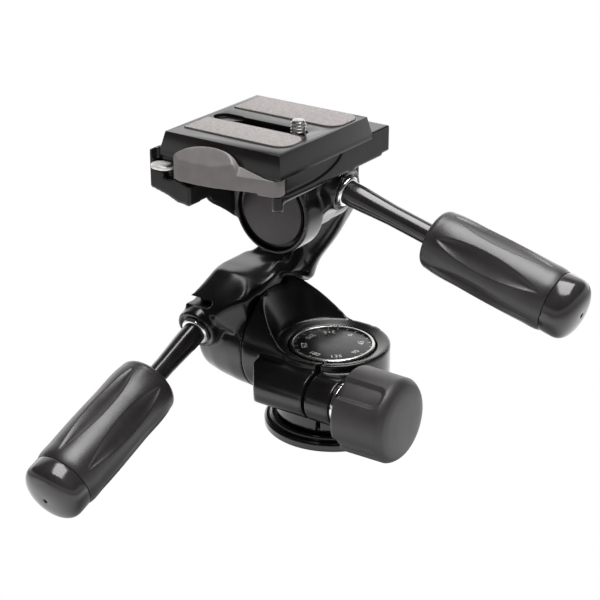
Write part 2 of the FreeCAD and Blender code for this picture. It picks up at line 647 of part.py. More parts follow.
def ring_webs():
    y = SIDE_FRONT_Y
    left = [V(-38.0, y, 122.6), V(-33.6, y, 120.0), V(-31.4, y, 115.0), V(-31.4, y, 109.0)]
    cut_in = [V(-31.4, y, 109.0), V(-20.0, y, 106.0), V(SIDE_X, y, 106.0)]
    top = [V(SIDE_X, y, 106.0), V(SIDE_X, y, 114.0), V(SIDE_X, y, 122.6)]
    return curved_prism([left, cut_in, top], V(0, SIDE_RING_LEN + 14.0, 0))


def jaw():
    """Lip behind the plate, slanting up towards the pan knob's side."""
    profile = [
        V(JAW_X0, JAW_Y1, RECEIVER_Z0 + 1.5), V(8.0, JAW_Y1, RECEIVER_Z0 - 1.0),
        V(RECEIVER_X1, JAW_Y1, RECEIVER_Z0 + 1.0),
        V(RECEIVER_X1, JAW_Y1, JAW_TOP), V(JAW_X0 + 3.0, JAW_Y1, JAW_TOP), V(JAW_X0, JAW_Y1, JAW_TOP - 3.0),
    ]
    return prism(profile, V(0, -14.0, 0))


def rail_recess():
    """Shallow recess in the wall on the knob's side, with an edge that swings up behind."""
    x = RECEIVER_X1 - RAIL_RECESS
    y = RECEIVER_Y0 - EPS
    edge = [V(x, y, 124.5), V(x, -43.5, 124.6), V(x, -31.5, 125.1), V(x, -21.8, 127.1), V(x, -16.2, 129.9),
            V(x, -13.8, JAW_TOP)]
    lid = [V(x, -13.8, JAW_TOP), V(x, -30.0, JAW_TOP), V(x, y, JAW_TOP)]
    return curved_prism([edge, lid], V(2.0, 0, 0))


def receiver():
    body = box(RECEIVER_X0, RECEIVER_X1, RECEIVER_Y0, RECEIVER_Y1, RECEIVER_Z0, FLOOR_Z)
    front_rail = box(-43.4, RECEIVER_X1, RECEIVER_Y0, RECEIVER_Y0 + 20.0, RAIL_Z0, RECEIVER_Z0 + 1)
    ring = cyl(SIDE_RING_R, SIDE_RING_LEN, side_tilt_point(SIDE_FRONT_Y), Y_AXIS)
    hub_end_y = RECEIVER_Y1 - 0.4
    hub = cyl(SIDE_HUB_R, hub_end_y - SIDE_FRONT_Y, side_tilt_point(SIDE_FRONT_Y), Y_AXIS)
    saddle_y = SIDE_FRONT_Y + 1.0
    saddle = box(SIDE_X - 12.0, SIDE_X + 17.0, saddle_y, hub_end_y, SIDE_Z + 4, RECEIVER_Z0 + 2)
    direction = side_handle_direction()
    boss = bored(SIDE_BOSS_R, 2, SIDE_BOSS - 2 + BOSS_RIM, side_handle_point, direction)
    web_y = SIDE_HANDLE_Y - 8
    web = prism([
        V(-2.0, web_y, 94.0), V(3.4, web_y, 101.5), V(8.0, web_y, 106.0), V(9.6, web_y, 122.5),
        V(-6.0, web_y, 122.5),
    ], V(0, 16, 0))
    lug_top = LEVER_Z0 - GAP
    lug = fused([
        cyl(LUG_R, lug_top - LUG_FOOT_Z, V(POST_X, POST_Y, LUG_FOOT_Z)),
        box(POST_X - LUG_R, POST_X + LUG_R, POST_Y, RECEIVER_Y0 + 1, RAIL_Z0, lug_top),
    ])
    walls = [ring_webs(), latch_web(), jaw()]
    body = fused([body, front_rail, ring, hub, saddle, boss, web, lug] + walls + latch_block())
    rear_y = PLATE_Y + PLATE_LY / 2 + PLATE_FLARE + 0.4
    body = body.cut(box(RECEIVER_X0 - 5, RECEIVER_X1 + 5, RECEIVER_Y0 - 20, rear_y, FLOOR_Z, JAW_TOP + 5))
    inner = SIDE_SPINDLE_R + RUN + SLEEVE_T
    body = body.cut(cyl(inner, 80, side_tilt_point(-50), Y_AXIS))
    body = body.cut(cyl(CAP_R + CAP_RING, CAP_T + 1.2, side_tilt_point(SIDE_FRONT_Y), Y_AXIS))
    body = body.cut(bored(SHANK_R + RUN, 5.5, 40, side_handle_point, direction))
    body = body.cut(bored(PLUG_R + 0.1, -7, PLUG_LEN + 1, side_handle_point, direction))
    body = body.cut(bored(COLLAR_R + BOSS_RIM, SIDE_BOSS, BOSS_RIM + EPS, side_handle_point, direction))
    body = body.cut(cyl(POST_R, 10.0, V(POST_X, POST_Y, LUG_FOOT_Z + 1.0)))
    body = body.cut(rail_recess())
    pocket_z = CATCH_Z0 - GAP
    pocket_x0 = RECEIVER_X0 + LATCH_WALL
    body = body.cut(box(pocket_x0, -39.9, LATCH_Y0 - 5, -40.0, pocket_z, CATCH_Z0 + CATCH_T + GAP))
    body = body.cut(box(CATCH_X + 0.6, -39.6, LATCH_Y0 - 1, LATCH_Y0 + 4, pocket_z - 4.0, pocket_z + EPS))
    spring_hole = cyl(SPRING_R + SPRING_WIRE_R + 0.4, 13.5, V(CATCH_X, -43.5, CATCH_Z0 + CATCH_T / 2), Y_AXIS)
    body = body.cut(spring_hole)
    keep("receiver", body)


# ---------------------------------------------------------------- release lever and safety catch
def lever():
    outline = [
        V(-30.0, -58.2, 0), V(-33.2, -59.4, 0), V(-34.4, -61.8, 0), V(-33.2, -64.6, 0), V(-29.8, -66.0, 0),
        V(-14.0, -66.0, 0), V(-4.0, -64.4, 0), V(6.0, -62.2, 0), V(12.4, -61.0, 0), V(14.4, -59.2, 0),
        V(14.6, -56.6, 0), V(13.6, -54.4, 0), V(11.6, -53.8, 0), V(6.0, -56.2, 0), V(-4.0, -57.2, 0),
    ]
    lift = V(0, 0, LEVER_Z0)
    bar = prism([point + lift for point in outline], V(0, 0, LEVER_TOP - LEVER_Z0))
    taper = prism([V(-34.0, 0, LEVER_Z0 - 2), V(6.0, 0, LEVER_Z0 - 2), V(6.0, 0, LEVER_Z0 + 1.0),
                   V(-22.0, 0, LEVER_Z0)], V(0, -80, 0))
    bar = bar.cut(taper)
    ramp_y = PLATE_Y - PLATE_LY / 2 - PLATE_FLARE - GAP
    high = Part.makePolygon([V(-8, ramp_y, 131), V(-8, ramp_y, 136.4), V(-8, -65.0, 132.1), V(-8, -65.0, 131),
                             V(-8, ramp_y, 131)])
    low = Part.makePolygon([V(12, ramp_y, 131), V(12, ramp_y, 131.9), V(12, -61.1, 131.7), V(12, -61.1, 131),
                            V(12, ramp_y, 131)])
    ramp = Part.makeLoft([high, low], True, True)
    dome = curved_prism([
        [V(-34.0, -61.0, 131.0), V(-33.0, -61.0, 135.0), V(-27.5, -61.0, 138.4), V(-20.0, -61.0, 140.2),
         V(-12.6, -61.0, 140.4), V(-6.4, -61.0, 138.6), V(-3.6, -61.0, 135.6), V(-3.0, -61.0, 131.0)],
        [V(-3.0, -61.0, 131.0), V(-18.0, -61.0, 131.0), V(-34.0, -61.0, 131.0)],
    ], V(0, -5.6, 0))
    slope = prism([V(-40, -60.9, 141.4), V(-40, -66.6, 133.2), V(-40, -72.0, 133.2), V(-40, -72.0, 150),
                   V(-40, -60.9, 150)], V(50, 0, 0))
    front_wall = prism([point + V(0, 0, 130) for point in outline], V(0, 0, 12))
    pad = dome.cut(slope).common(front_wall)
    body = fused([bar, ramp, pad])
    body = body.cut(cyl(POST_R + RUN, 30, V(POST_X, POST_Y, LEVER_Z0 - EPS)))
    head_seat = LEVER_TOP - POST_HEAD_H - 0.1
    keep("release_lever", body.cut(cyl(POST_HEAD_R + 0.1, 5, V(POST_X, POST_Y, head_seat))))


def pivot_post():
    foot_z = LUG_FOOT_Z + 1.2
    head_z = LEVER_TOP - POST_HEAD_H
    shaft = cyl(POST_R, head_z - foot_z, V(POST_X, POST_Y, foot_z))
    keep("lever_pivot_post", fused([shaft, cyl(POST_HEAD_R, POST_HEAD_H, V(POST_X, POST_Y, head_z))]))


def safety_catch():
    tab = slot_solid(CATCH_HALF, CATCH_R, CATCH_T, V(CATCH_X, CATCH_Y, CATCH_Z0))
    stem = box(CATCH_X - 1.6, CATCH_X + 1.6, CATCH_Y, -43.4, CATCH_Z0, CATCH_Z0 + CATCH_T)
    keep("safety_catch", fused([tab, stem]))
    start = V(CATCH_X, -43.3, CATCH_Z0 + CATCH_T / 2)
    keep("catch_spring", coil(SPRING_R, SPRING_WIRE_R, 13.2, SPRING_TURNS, start, Y_AXIS))


# ---------------------------------------------------------------- quick-release plate
def plate_blank():
    half_x = PLATE_LX / 2
    half_y = PLATE_LY / 2
    foot_z = FLOOR_Z + PLATE_GAP
    wires = []
    for z, grow in ((PLATE_TOP, 0.0), (foot_z + 2.4, PLATE_FLARE), (foot_z, PLATE_FLARE)):
        x0 = PLATE_X - half_x - grow
        x1 = PLATE_X + half_x + grow
        y0 = PLATE_Y - half_y - grow
        y1 = PLATE_Y + half_y + grow
        wires.append(Part.makePolygon([V(x0, y0, z), V(x1, y0, z), V(x1, y1, z), V(x0, y1, z), V(x0, y0, z)]))
    return Part.makeLoft(wires, True, True)


def pad_outline(y0, y1, x0, x1, radius, bottom, height):
    """Flat strip with a rounded right end."""
    bar = box(x0, x1 - radius, y0, y1, bottom, bottom + height)
    middle = (y0 + y1) / 2
    end = box(x1 - radius, x1, y0 + radius, y1 - radius, bottom, bottom + height)
    low = cyl(radius, height, V(x1 - radius, y0 + radius, bottom))
    high = cyl(radius, height, V(x1 - radius, y1 - radius, bottom))
    strip = [bar, end, low, high] if middle - y0 > radius else [bar, low]
    return fused(strip)


def camera_plate():
    plate = plate_blank()
    slot_mid = (SLOT_X0 + SLOT_X1) / 2
    slot_half = (SLOT_X1 - SLOT_X0) / 2
    plate = plate.cut(slot_solid(slot_half, SLOT_R, 20, V(slot_mid, SLOT_Y, FLOOR_Z)))
    plate = plate.cut(slot_solid(KEY_HALF, KEY_R, 5, V(KEY_X, SLOT_Y, PLATE_TOP - KEY_DEPTH)))
    pocket = box(POCKET_X0, POCKET_X1, SLOT_Y - POCKET_HALF, SLOT_Y + POCKET_HALF, FLOOR_Z - 1, POCKET_Z)
    plate = plate.cut(pocket)
    seat_z = PLATE_TOP + PAD_PROUD - PAD_T
    left_x = PLATE_X - PLATE_LX / 2 + PAD_INSET
    front = pad_outline(-50.8, -35.2, left_x, FRONT_PAD_X1, PAD_END_R, seat_z, PAD_T)
    rear = pad_outline(-17.6, 1.2, left_x, REAR_PAD_X1, PAD_END_R, seat_z, PAD_T)
    keep("front_pad", front)
    keep("rear_pad", rear)
    keep("camera_plate", plate.cut(front).cut(rear))


def camera_screw():
    head_z = POCKET_Z - 0.1 - SLIDER_T - SCREW_HEAD_T - 0.1
    thread_end = SCREW_TOP - SCREW_TIP
    neck = cyl(SCREW_NECK_R, thread_end - head_z - 2, V(SCREW_X, SLOT_Y, head_z + 1))
    thread = cyl(SCREW_R, SCREW_THREAD, V(SCREW_X, SLOT_Y, thread_end - SCREW_THREAD))
    tip = Part.makeCone(SCREW_R, SCREW_R - SCREW_TIP, SCREW_TIP, V(SCREW_X, SLOT_Y, thread_end))
    head = cyl(SCREW_HEAD_R, SCREW_HEAD_T, V(SCREW_X, SLOT_Y, head_z))
    driver = box(SCREW_X - SCREW_HEAD_R - 1, SCREW_X + SCREW_HEAD_R + 1, SLOT_Y - 0.7, SLOT_Y + 0.7,
                 head_z - EPS, head_z + 1.1)
    keep("camera_screw", fused([head, neck, thread, tip]).cut(driver))
    half_y = POCKET_HALF - GAP
    slider_z = POCKET_Z - 0.1 - SLIDER_T
    half_x = SLIDER_LX / 2
    slider = Part.makeBox(2 * half_x, 2 * half_y, SLIDER_T, V(SCREW_X - half_x, SLOT_Y - half_y, slider_z))
    keep("screw_slider", slider.cut(cyl(SCREW_NECK_R + RUN, 10, V(SCREW_X, SLOT_Y, slider_z - 1))))


# ---------------------------------------------------------------- handles
def scalloped(grip, radius, start, length):
    """Cut long finger scallops round a grip that stands along +Z."""
    offset = radius + SCALLOP_R - SCALLOP_DEPTH
    for index in range(SCALLOPS):
        angle = 2 * math.pi * (index + 0.5) / SCALLOPS
        foot = V(offset * math.cos(angle), offset * math.sin(angle), start)
        grip = grip.cut(cyl(SCALLOP_R, length, foot))
        grip = grip.cut(Part.makeSphere(SCALLOP_R, foot))
        grip = grip.cut(Part.makeSphere(SCALLOP_R, foot + Z_AXIS * length))
    return grip


def handle(prefix, point, direction, boss, rod_free, grip_len, g, shank_start):
    """Rod, collar, grip and end cap along one axis; boss is the distance to the boss face."""
    rod_start = boss + 0.2
    loose = SHANK_R + 0.02
    collar = turned([
        (loose, 0), (COLLAR_R, 0), (COLLAR_R, COLLAR_T - 0.5), (COLLAR_R - 0.5, COLLAR_T), (loose, COLLAR_T),
    ])
    keep(prefix + "_collar", aimed(collar, point(rod_start), direction))
    shank_z = shank_start - rod_start
    rod_end = rod_free + ROD_IN_GRIP
    rod = turned([
        (0, shank_z), (SHANK_R, shank_z), (SHANK_R, COLLAR_T + 0.02), (ROD_ROOT_R, COLLAR_T + 0.02),
        (ROD_ROOT_R, COLLAR_T + 6), (ROD_R, COLLAR_T + 22), (ROD_R, rod_end), (0, rod_end),
    ])
    keep(prefix + "_rod", aimed(rod, point(rod_start), direction))
    body_len = grip_len - GRIP_CAP_LEN
    hole_end = ROD_IN_GRIP + 0.5
    grip = turned([
        (ROD_R, 0), (g * 0.84, 0), (g * 0.92, 0.9), (g * 0.955, 4.0), (g * 0.985, body_len * 0.35),
        (g, body_len * 0.6), (g * 0.985, body_len * 0.85), (g * 0.955, body_len - 0.5), (g * 0.93, body_len),
        (0, body_len), (0, hole_end), (ROD_R, hole_end),
    ])
    grip = scalloped(grip, g, 14.0, body_len - 26.0)
    keep(prefix + "_grip", aimed(grip, point(boss + rod_free), direction))
    cap = turned([
        (0, 0.1), (g * 0.93, 0.1), (g * 0.955, 0.7), (g * 0.94, GRIP_CAP_LEN * 0.45),
        (g * 0.84, GRIP_CAP_LEN * 0.8), (g * 0.62, GRIP_CAP_LEN), (1.0, GRIP_CAP_LEN),
        (1.0, GRIP_CAP_LEN - 2.0), (0, GRIP_CAP_LEN - 2.0),
    ])
    keep(prefix + "_end_cap", aimed(cap, point(boss + rod_free + body_len), direction))


def handles():
    handle("tilt_handle", tilt_handle_point, tilt_handle_direction(), TILT_BOSS, TILT_ROD_FREE,
           TILT_GRIP_LEN, TILT_GRIP_R, PLUG_LEN + 0.1)
    handle("side_handle", side_handle_point, side_handle_direction(), SIDE_BOSS, SIDE_ROD_FREE,
           SIDE_GRIP_LEN, SIDE_GRIP_R, PLUG_LEN - 6.4)


# ---------------------------------------------------------------- build and export
def build():
    base_flange()
    snap_ring()
    thrust_washer()
    dial()
    pan_housing()
    pan_sleeve()
    pan_knob()
    front_spindle()
    tilt_arm()
    front_sleeve()
    side_spindle()
    side_sleeve()
    receiver()
    lever()
    pivot_post()
    safety_catch()
    camera_plate()
    camera_screw()
    handles()


build()
os.makedirs("parts", exist_ok=True)
for name in sorted(parts):
    shape = parts[name]
    shape.exportStep("parts/" + name + ".step")
    print(name, len(shape.Solids), round(shape.Volume, 1), shape.isValid())
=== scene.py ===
# %% [markdown]
# # A three-way pan and tilt head
# A tripod head with three joints carries a camera on a quick-release plate. The CAD frame already holds
# every solid in its place. This lesson dresses it: the castings get their soft fillets, the turned and
# moulded pieces are modelled afresh, and every piece gets a finish that starts from the real material.
# Nothing is moved, because the joints of the frame have to go on working.

# %% Open the frame
import math

import bpy
import numpy as np
from mathutils import Matrix, Vector


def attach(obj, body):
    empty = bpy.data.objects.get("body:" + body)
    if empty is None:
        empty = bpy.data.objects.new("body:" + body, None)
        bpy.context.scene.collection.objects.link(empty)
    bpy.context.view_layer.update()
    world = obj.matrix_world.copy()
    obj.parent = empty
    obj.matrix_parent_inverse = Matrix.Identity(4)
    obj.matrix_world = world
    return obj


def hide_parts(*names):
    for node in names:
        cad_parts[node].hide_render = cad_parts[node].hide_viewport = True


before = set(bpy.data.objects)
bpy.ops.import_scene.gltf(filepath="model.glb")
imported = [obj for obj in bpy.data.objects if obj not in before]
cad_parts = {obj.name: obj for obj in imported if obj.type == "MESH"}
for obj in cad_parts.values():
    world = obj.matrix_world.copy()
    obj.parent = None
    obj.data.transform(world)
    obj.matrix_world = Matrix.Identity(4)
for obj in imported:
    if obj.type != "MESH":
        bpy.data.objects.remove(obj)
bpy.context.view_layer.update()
MM = 0.001

# %% [markdown]
# ## Materials
# Every finish is a Principled shader with a few nodes around it. Two helpers do most: one turns a
# hex colour, as a paint chart gives it, into the linear numbers that the shader wants, and one adds a
# node with its settings and links. The frame is in metres, so a grain of so many millimetres becomes
# a texture scale of one over that size in metres. The other helpers build on these: a noise, a slow
# drift of colour and roughness over the surface, and a fine grain that only bends the light.

# %% Helpers for materials
def colour(code):
    """Linear RGBA of an sRGB hex colour."""
    linear = []
    for start in (1, 3, 5):
        value = int(code[start:start + 2], 16) / 255
        linear.append(value / 12.92 if value <= 0.04045 else ((value + 0.055) / 1.055) ** 2.4)
    return (*linear, 1.0)


def add_node(tree, kind, settings=None, links=None):
    """Add a node, set its inputs and properties, and link sockets into it."""
    node = tree.nodes.new(kind)
    for key, value in (settings or {}).items():
        if key == "ramp":
            node.color_ramp.elements[0].position, node.color_ramp.elements[0].color = value[0]
            node.color_ramp.elements[1].position, node.color_ramp.elements[1].color = value[1]
        elif isinstance(key, int) or key in node.inputs:
            node.inputs[key].default_value = value
        else:
            setattr(node, key, value)
    for key, socket in (links or {}).items():
        tree.links.new(socket, node.inputs[key])
    return node


def per_mm(size):
    """Texture scale at which one grain is size millimetres wide."""
    return 1 / (size * MM)


def material(name):
    """A new material's tree, its shader and its object coordinates."""
    made = bpy.data.materials.new(name)
    made.use_nodes = True
    tree = made.node_tree
    tree.nodes.clear()
    shader = add_node(tree, "ShaderNodeBsdfPrincipled")
    add_node(tree, "ShaderNodeOutputMaterial", links={"Surface": shader.outputs["BSDF"]})
    place = add_node(tree, "ShaderNodeTexCoord").outputs["Object"]
    return made, tree, shader, place


def noise(tree, place, grain_mm, **settings):
    """A noise from 0 to 1 whose grains are so many millimetres wide."""
    made = add_node(tree, "ShaderNodeTexNoise", {"Scale": per_mm(grain_mm), **settings}, {"Vector": place})
    return made.outputs["Fac"]


def drift(tree, shader, place, colours, roughness, patch_mm):
    """Let colour and roughness drift over patches, as every real coating does."""
    patches = noise(tree, place, patch_mm, Detail=3.0)
    tint = add_node(tree, "ShaderNodeValToRGB",
                    {"ramp": [(0.35, colour(colours[0])), (0.65, colour(colours[1]))]},
                    {"Fac": patches})
    shine = add_node(tree, "ShaderNodeMapRange",
                     {"From Min": 0.3, "From Max": 0.7, "To Min": roughness[0], "To Max": roughness[1]},
                     {"Value": patches})
    tree.links.new(tint.outputs["Color"], shader.inputs["Base Color"])
    tree.links.new(shine.outputs["Result"], shader.inputs["Roughness"])
    return tint.outputs["Color"]


def grain(tree, shader, height, depth_mm):
    """Raise a texture's height as a bump of so many millimetres."""
    bump = add_node(tree, "ShaderNodeBump", {"Strength": 1.0, "Distance": depth_mm * MM}, {"Height": height})
    tree.links.new(bump.outputs["Normal"], shader.inputs["Normal"])


# %% [markdown]
# ### Coated metal
# The body castings are aluminium with a satin black powder coat. Powder melts into a film that stays
# a little wavy, the orange peel, about a millimetre from crest to crest and only a few thousandths
# deep. It gives the highlights of a casting their slightly broken edge. The corners are painted a
# shade lighter: partly the coat worn thin there, partly a painted highlight for the light the edges
# catch. The rods are steel with a glossy black enamel, and the lever a zinc casting in grey lacquer.

# %% Satin black powder coat on cast aluminium
black_coat, tree, shader, place = material("satin_black_powder_coat")
tint = drift(tree, shader, place, ("#100e0e", "#171515"), (0.19, 0.25), 9.0)
geometry = add_node(tree, "ShaderNodeNewGeometry")
# Pointiness paints the corners lighter: partly worn coat, partly a painted highlight in place of the light
# that edges catch.
edge_wear_and_highlight = add_node(tree, "ShaderNodeMapRange",
                  {"From Min": 0.53, "From Max": 0.62, "To Min": 0.0, "To Max": 0.35},
                  {"Value": geometry.outputs["Pointiness"]})
MIX_SHARE, MIX_A, MIX_B, MIX_OUT = 0, 6, 7, 2     # a Mix node's sockets when it mixes colours
worn_and_highlit_corner = add_node(tree, "ShaderNodeMix", {"data_type": "RGBA"}, {MIX_SHARE: edge_wear_and_highlight.outputs["Result"]})
tree.links.new(tint, worn_and_highlit_corner.inputs[MIX_A])
worn_and_highlit_corner.inputs[MIX_B].default_value = colour("#2a2625")
tree.links.new(worn_and_highlit_corner.outputs[MIX_OUT], shader.inputs["Base Color"])
grain(tree, shader, noise(tree, place, 1.1, Detail=2.0), 0.012)

# %% Glossy black enamel on steel rod
black_enamel, tree, shader, place = material("gloss_black_enamel_on_steel")
drift(tree, shader, place, ("#1c1a1a", "#242121"), (0.18, 0.26), 14.0)
shader.inputs["Coat Weight"].default_value = 0.25
shader.inputs["Coat Roughness"].default_value = 0.05
grain(tree, shader, noise(tree, place, 3.0, Detail=1.0), 0.006)

# %% Grey lacquer on cast zinc
grey_lacquer, tree, shader, place = material("grey_lacquer_on_cast_zinc")
drift(tree, shader, place, ("#6e6a6a", "#787372"), (0.50, 0.58), 6.0)
shader.inputs["Metallic"].default_value = 0.05
grain(tree, shader, noise(tree, place, 0.45, Detail=2.0), 0.008)

# %% [markdown]
# ### Moulded plastics and rubber
# The grips and the knob are moulded in a dark grey soft-touch rubber. Its mould is spark eroded, so
# the skin has a fine grain that spreads every highlight. The end caps come from the same colour of
# nylon in a polished mould: smoother, and brighter at the edges. The two pads on the plate are a
# rubber with ground cork in it, speckled and almost without shine.

# %% Soft-touch rubber of the grips and the knob
def soft_rubber(name, colours, roughness):
    """Rubber from a spark-eroded mould, its skin finely grained."""
    made, tree, shader, place = material(name)
    drift(tree, shader, place, colours, roughness, 11.0)
    shader.inputs["Specular IOR Level"].default_value = 0.55
    grain(tree, shader, noise(tree, place, 0.5, Detail=4.0, Roughness=0.6), 0.02)
    return made


grip_rubber = soft_rubber("dark_grey_soft_touch_rubber", ("#262324", "#2e2b2b"), (0.32, 0.39))
knob_rubber = soft_rubber("grey_soft_touch_rubber", ("#2e2b2c", "#363334"), (0.42, 0.50))

# %% Polished nylon of the end caps
cap_nylon, tree, shader, place = material("dark_grey_moulded_nylon")
drift(tree, shader, place, ("#2a2728", "#333031"), (0.13, 0.19), 8.0)
grain(tree, shader, noise(tree, place, 1.6, Detail=2.0), 0.006)

# %% Cork rubber of the pads
cork_rubber, tree, shader, place = material("cork_filled_rubber")
specks = add_node(tree, "ShaderNodeTexVoronoi", {"Scale": per_mm(0.5), "Randomness": 1.0}, {"Vector": place})
clouds = noise(tree, place, 0.9, Detail=5.0, Roughness=0.7)
blend = add_node(tree, "ShaderNodeMath", {"operation": "MULTIPLY_ADD", 1: 0.5},
                 {0: specks.outputs["Distance"], 2: clouds})
tint = add_node(tree, "ShaderNodeValToRGB", {"ramp": [(0.45, colour("#676362")), (0.95, colour("#8d8886"))]},
                {"Fac": blend.outputs["Value"]})
tree.links.new(tint.outputs["Color"], shader.inputs["Base Color"])
shine = add_node(tree, "ShaderNodeMapRange", {"To Min": 0.7, "To Max": 0.9}, {"Value": clouds})
tree.links.new(shine.outputs["Result"], shader.inputs["Roughness"])
grain(tree, shader, blend.outputs["Value"], 0.05)

# %% White acetal of the bearings
acetal, tree, shader, place = material("white_acetal")
drift(tree, shader, place, ("#d9d6cf", "#e6e3dc"), (0.32, 0.42), 4.0)
shader.inputs["Subsurface Weight"].default_value = 0.05
grain(tree, shader, noise(tree, place, 0.6), 0.006)

# %% [markdown]
# ### Bare and plated metal
# The collars are chrome plated, the catch satin nickel. The dial's ring is turned aluminium: the tool
# leaves rings that are too fine to see one by one, so they are drawn nearly two millimetres apart
# and only a few thousandths deep, which gives the same soft play of light. The spindle's cap disc
# and the dial's disc are aluminium too, blasted or turned and then anodised, and the screws are
# zinc-plated steel with a slightly clouded shine.

# %% Chrome plate
chrome, tree, shader, place = material("chrome_plate")
shader.inputs["Metallic"].default_value = 1.0
drift(tree, shader, place, ("#cfcecd", "#e0dfde"), (0.07, 0.14), 3.0)
grain(tree, shader, noise(tree, place, 1.5, Detail=2.0), 0.003)


# %% Satin nickel of the catch
satin_nickel, tree, shader, place = material("satin_nickel_plate")
shader.inputs["Metallic"].default_value = 0.55
drift(tree, shader, place, ("#e2dfdb", "#efece8"), (0.30, 0.38), 2.0)
grain(tree, shader, noise(tree, place, 0.4, Detail=2.0), 0.004)


# %% Turned, blasted and zinc-plated metals
WAVE_RADIANS = 20         # a wave texture turns through this angle in one unit at scale 1


def turned_metal(name, colours, roughness, metallic, ring_mm, depth_mm):
    """Metal with the rings that a lathe leaves about the pan axis, so many millimetres apart."""
    made, tree, shader, place = material(name)
    shader.inputs["Metallic"].default_value = metallic
    drift(tree, shader, place, colours, roughness, 5.0)
    rings = add_node(tree, "ShaderNodeTexWave",
                     {"wave_type": "RINGS", "rings_direction": "Z", "Distortion": 0.3,
                      "Scale": 2 * math.pi / WAVE_RADIANS * per_mm(ring_mm)}, {"Vector": place})
    grain(tree, shader, rings.outputs["Fac"], depth_mm)
    return made


bright_ring = turned_metal("turned_bare_aluminium", ("#b9b7b5", "#d2d0ce"), (0.20, 0.30), 1.0,
                           ring_mm=1.885, depth_mm=0.004)
dial_black = turned_metal("black_anodised_turned_aluminium", ("#111010", "#181617"), (0.26, 0.34), 0.2,
                          ring_mm=1.885, depth_mm=0.004)

disc_grey, tree, shader, place = material("blasted_grey_anodised_aluminium")
drift(tree, shader, place, ("#353132", "#3d393a"), (0.36, 0.44), 7.0)
shader.inputs["Metallic"].default_value = 0.35
grain(tree, shader, noise(tree, place, 0.35, Detail=3.0), 0.01)

zinc_steel, tree, shader, place = material("zinc_plated_steel")
shader.inputs["Metallic"].default_value = 1.0
drift(tree, shader, place, ("#9d9b98", "#c4c1bc"), (0.22, 0.36), 2.0)
grain(tree, shader, noise(tree, place, 0.5, Detail=3.0), 0.005)

white_ink, tree, shader, place = material("white_screen_print_ink")
drift(tree, shader, place, ("#c9c9c6", "#dededb"), (0.45, 0.6), 1.0)
grain(tree, shader, noise(tree, place, 0.2), 0.004)

# %% [markdown]
# ## Working with the frame's solids
# A CAD node is a bag of loose triangles that must stay as it is. A piece that needs rounder edges
# starts as a copy of the node, merged into one skin. Machined pieces then get a narrow bevel, which
# is what a deburring tool leaves. Castings get more: their skin is rebuilt as an even grid, and the
# grid is smoothed where the real casting has fillets and draft, but not in its bores and seats.

# %% Helpers for copies and edges
pieces = []


def only(obj):
    """Select one object and make it active."""
    bpy.ops.object.select_all(action="DESELECT")
    obj.select_set(True)
    bpy.context.view_layer.objects.active = obj


def dress(obj, body, slot, finish, *nodes):
    """Give a piece its finish, let it ride on its body and stand for CAD nodes."""
    obj.data.materials.clear()
    obj.data.materials.append(finish)
    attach(obj, body)
    if nodes:
        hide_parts(*nodes)
    pieces.append(obj)
    return obj


def copy_of(node, name):
    """A copy of a CAD node whose loose triangles are merged into one skin."""
    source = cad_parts[node]
    mesh = source.data.copy()
    mesh.name = name
    mesh.materials.clear()
    twin = bpy.data.objects.new(name, mesh)
    bpy.context.collection.objects.link(twin)
    only(twin)
    bpy.ops.object.mode_set(mode="EDIT")
    bpy.ops.mesh.select_all(action="SELECT")
    bpy.ops.mesh.remove_doubles(threshold=0.002 * MM)
    bpy.ops.object.mode_set(mode="OBJECT")
    if mesh.has_custom_normals:
        bpy.ops.mesh.customdata_custom_splitnormals_clear()
    return twin


def apply_modifier(obj, kind, **settings):
    """Add a modifier with its settings and apply it at once."""
    only(obj)
    bpy.ops.object.modifier_add(type=kind)
    modifier = obj.modifiers[-1]
    for key, value in settings.items():
        setattr(modifier, key, value)
    bpy.ops.object.modifier_apply(modifier=modifier.name)


def round_edges(obj, width_mm, segments=3, sharper_than=35):
    """Bevel every edge sharper than an angle."""
    apply_modifier(obj, "BEVEL", width=width_mm * MM, segments=segments, limit_method="ANGLE",
                   angle_limit=math.radians(sharper_than), use_clamp_overlap=True)
    only(obj)
    bpy.ops.object.shade_smooth_by_angle(angle=math.radians(40))


def machined(node, name, width_mm):
    """Copy of a turned or milled CAD node, flat faces rejoined, edges deburred."""
    piece = copy_of(node, name)
    only(piece)
    bpy.ops.object.mode_set(mode="EDIT")
    bpy.ops.mesh.select_all(action="SELECT")
    bpy.ops.mesh.dissolve_limited(angle_limit=math.radians(0.5))
    bpy.ops.object.mode_set(mode="OBJECT")
    round_edges(piece, width_mm)
    return piece


def deburred(node, name, width_mm, body, slot, finish):
    """Machined copy of a node, dressed and put in its place."""
    return dress(machined(node, name, width_mm), body, slot, finish, node)


def corners(obj):
    """The piece's vertices as an array in millimetres."""
    flat = np.empty(len(obj.data.vertices) * 3, np.float32)
    obj.data.vertices.foreach_get("co", flat)
    return flat.reshape(-1, 3) / MM


def put_back(obj, at):
    """Write an array in millimetres back to the piece's vertices."""
    obj.data.vertices.foreach_set("co", (at * MM).astype(np.float32).ravel())
    obj.data.update()


def soften(obj, chosen, passes):
    """Smooth the chosen vertices a number of times, as a caster's fillets would."""
    only(obj)
    bpy.ops.object.mode_set(mode="EDIT")
    bpy.ops.mesh.select_mode(type="VERT")
    bpy.ops.mesh.select_all(action="DESELECT")
    bpy.ops.object.mode_set(mode="OBJECT")
    obj.data.vertices.foreach_set("select", np.asarray(chosen, bool))
    bpy.ops.object.mode_set(mode="EDIT")
    bpy.ops.mesh.vertices_smooth(factor=0.5, repeat=passes)
    bpy.ops.object.mode_set(mode="OBJECT")


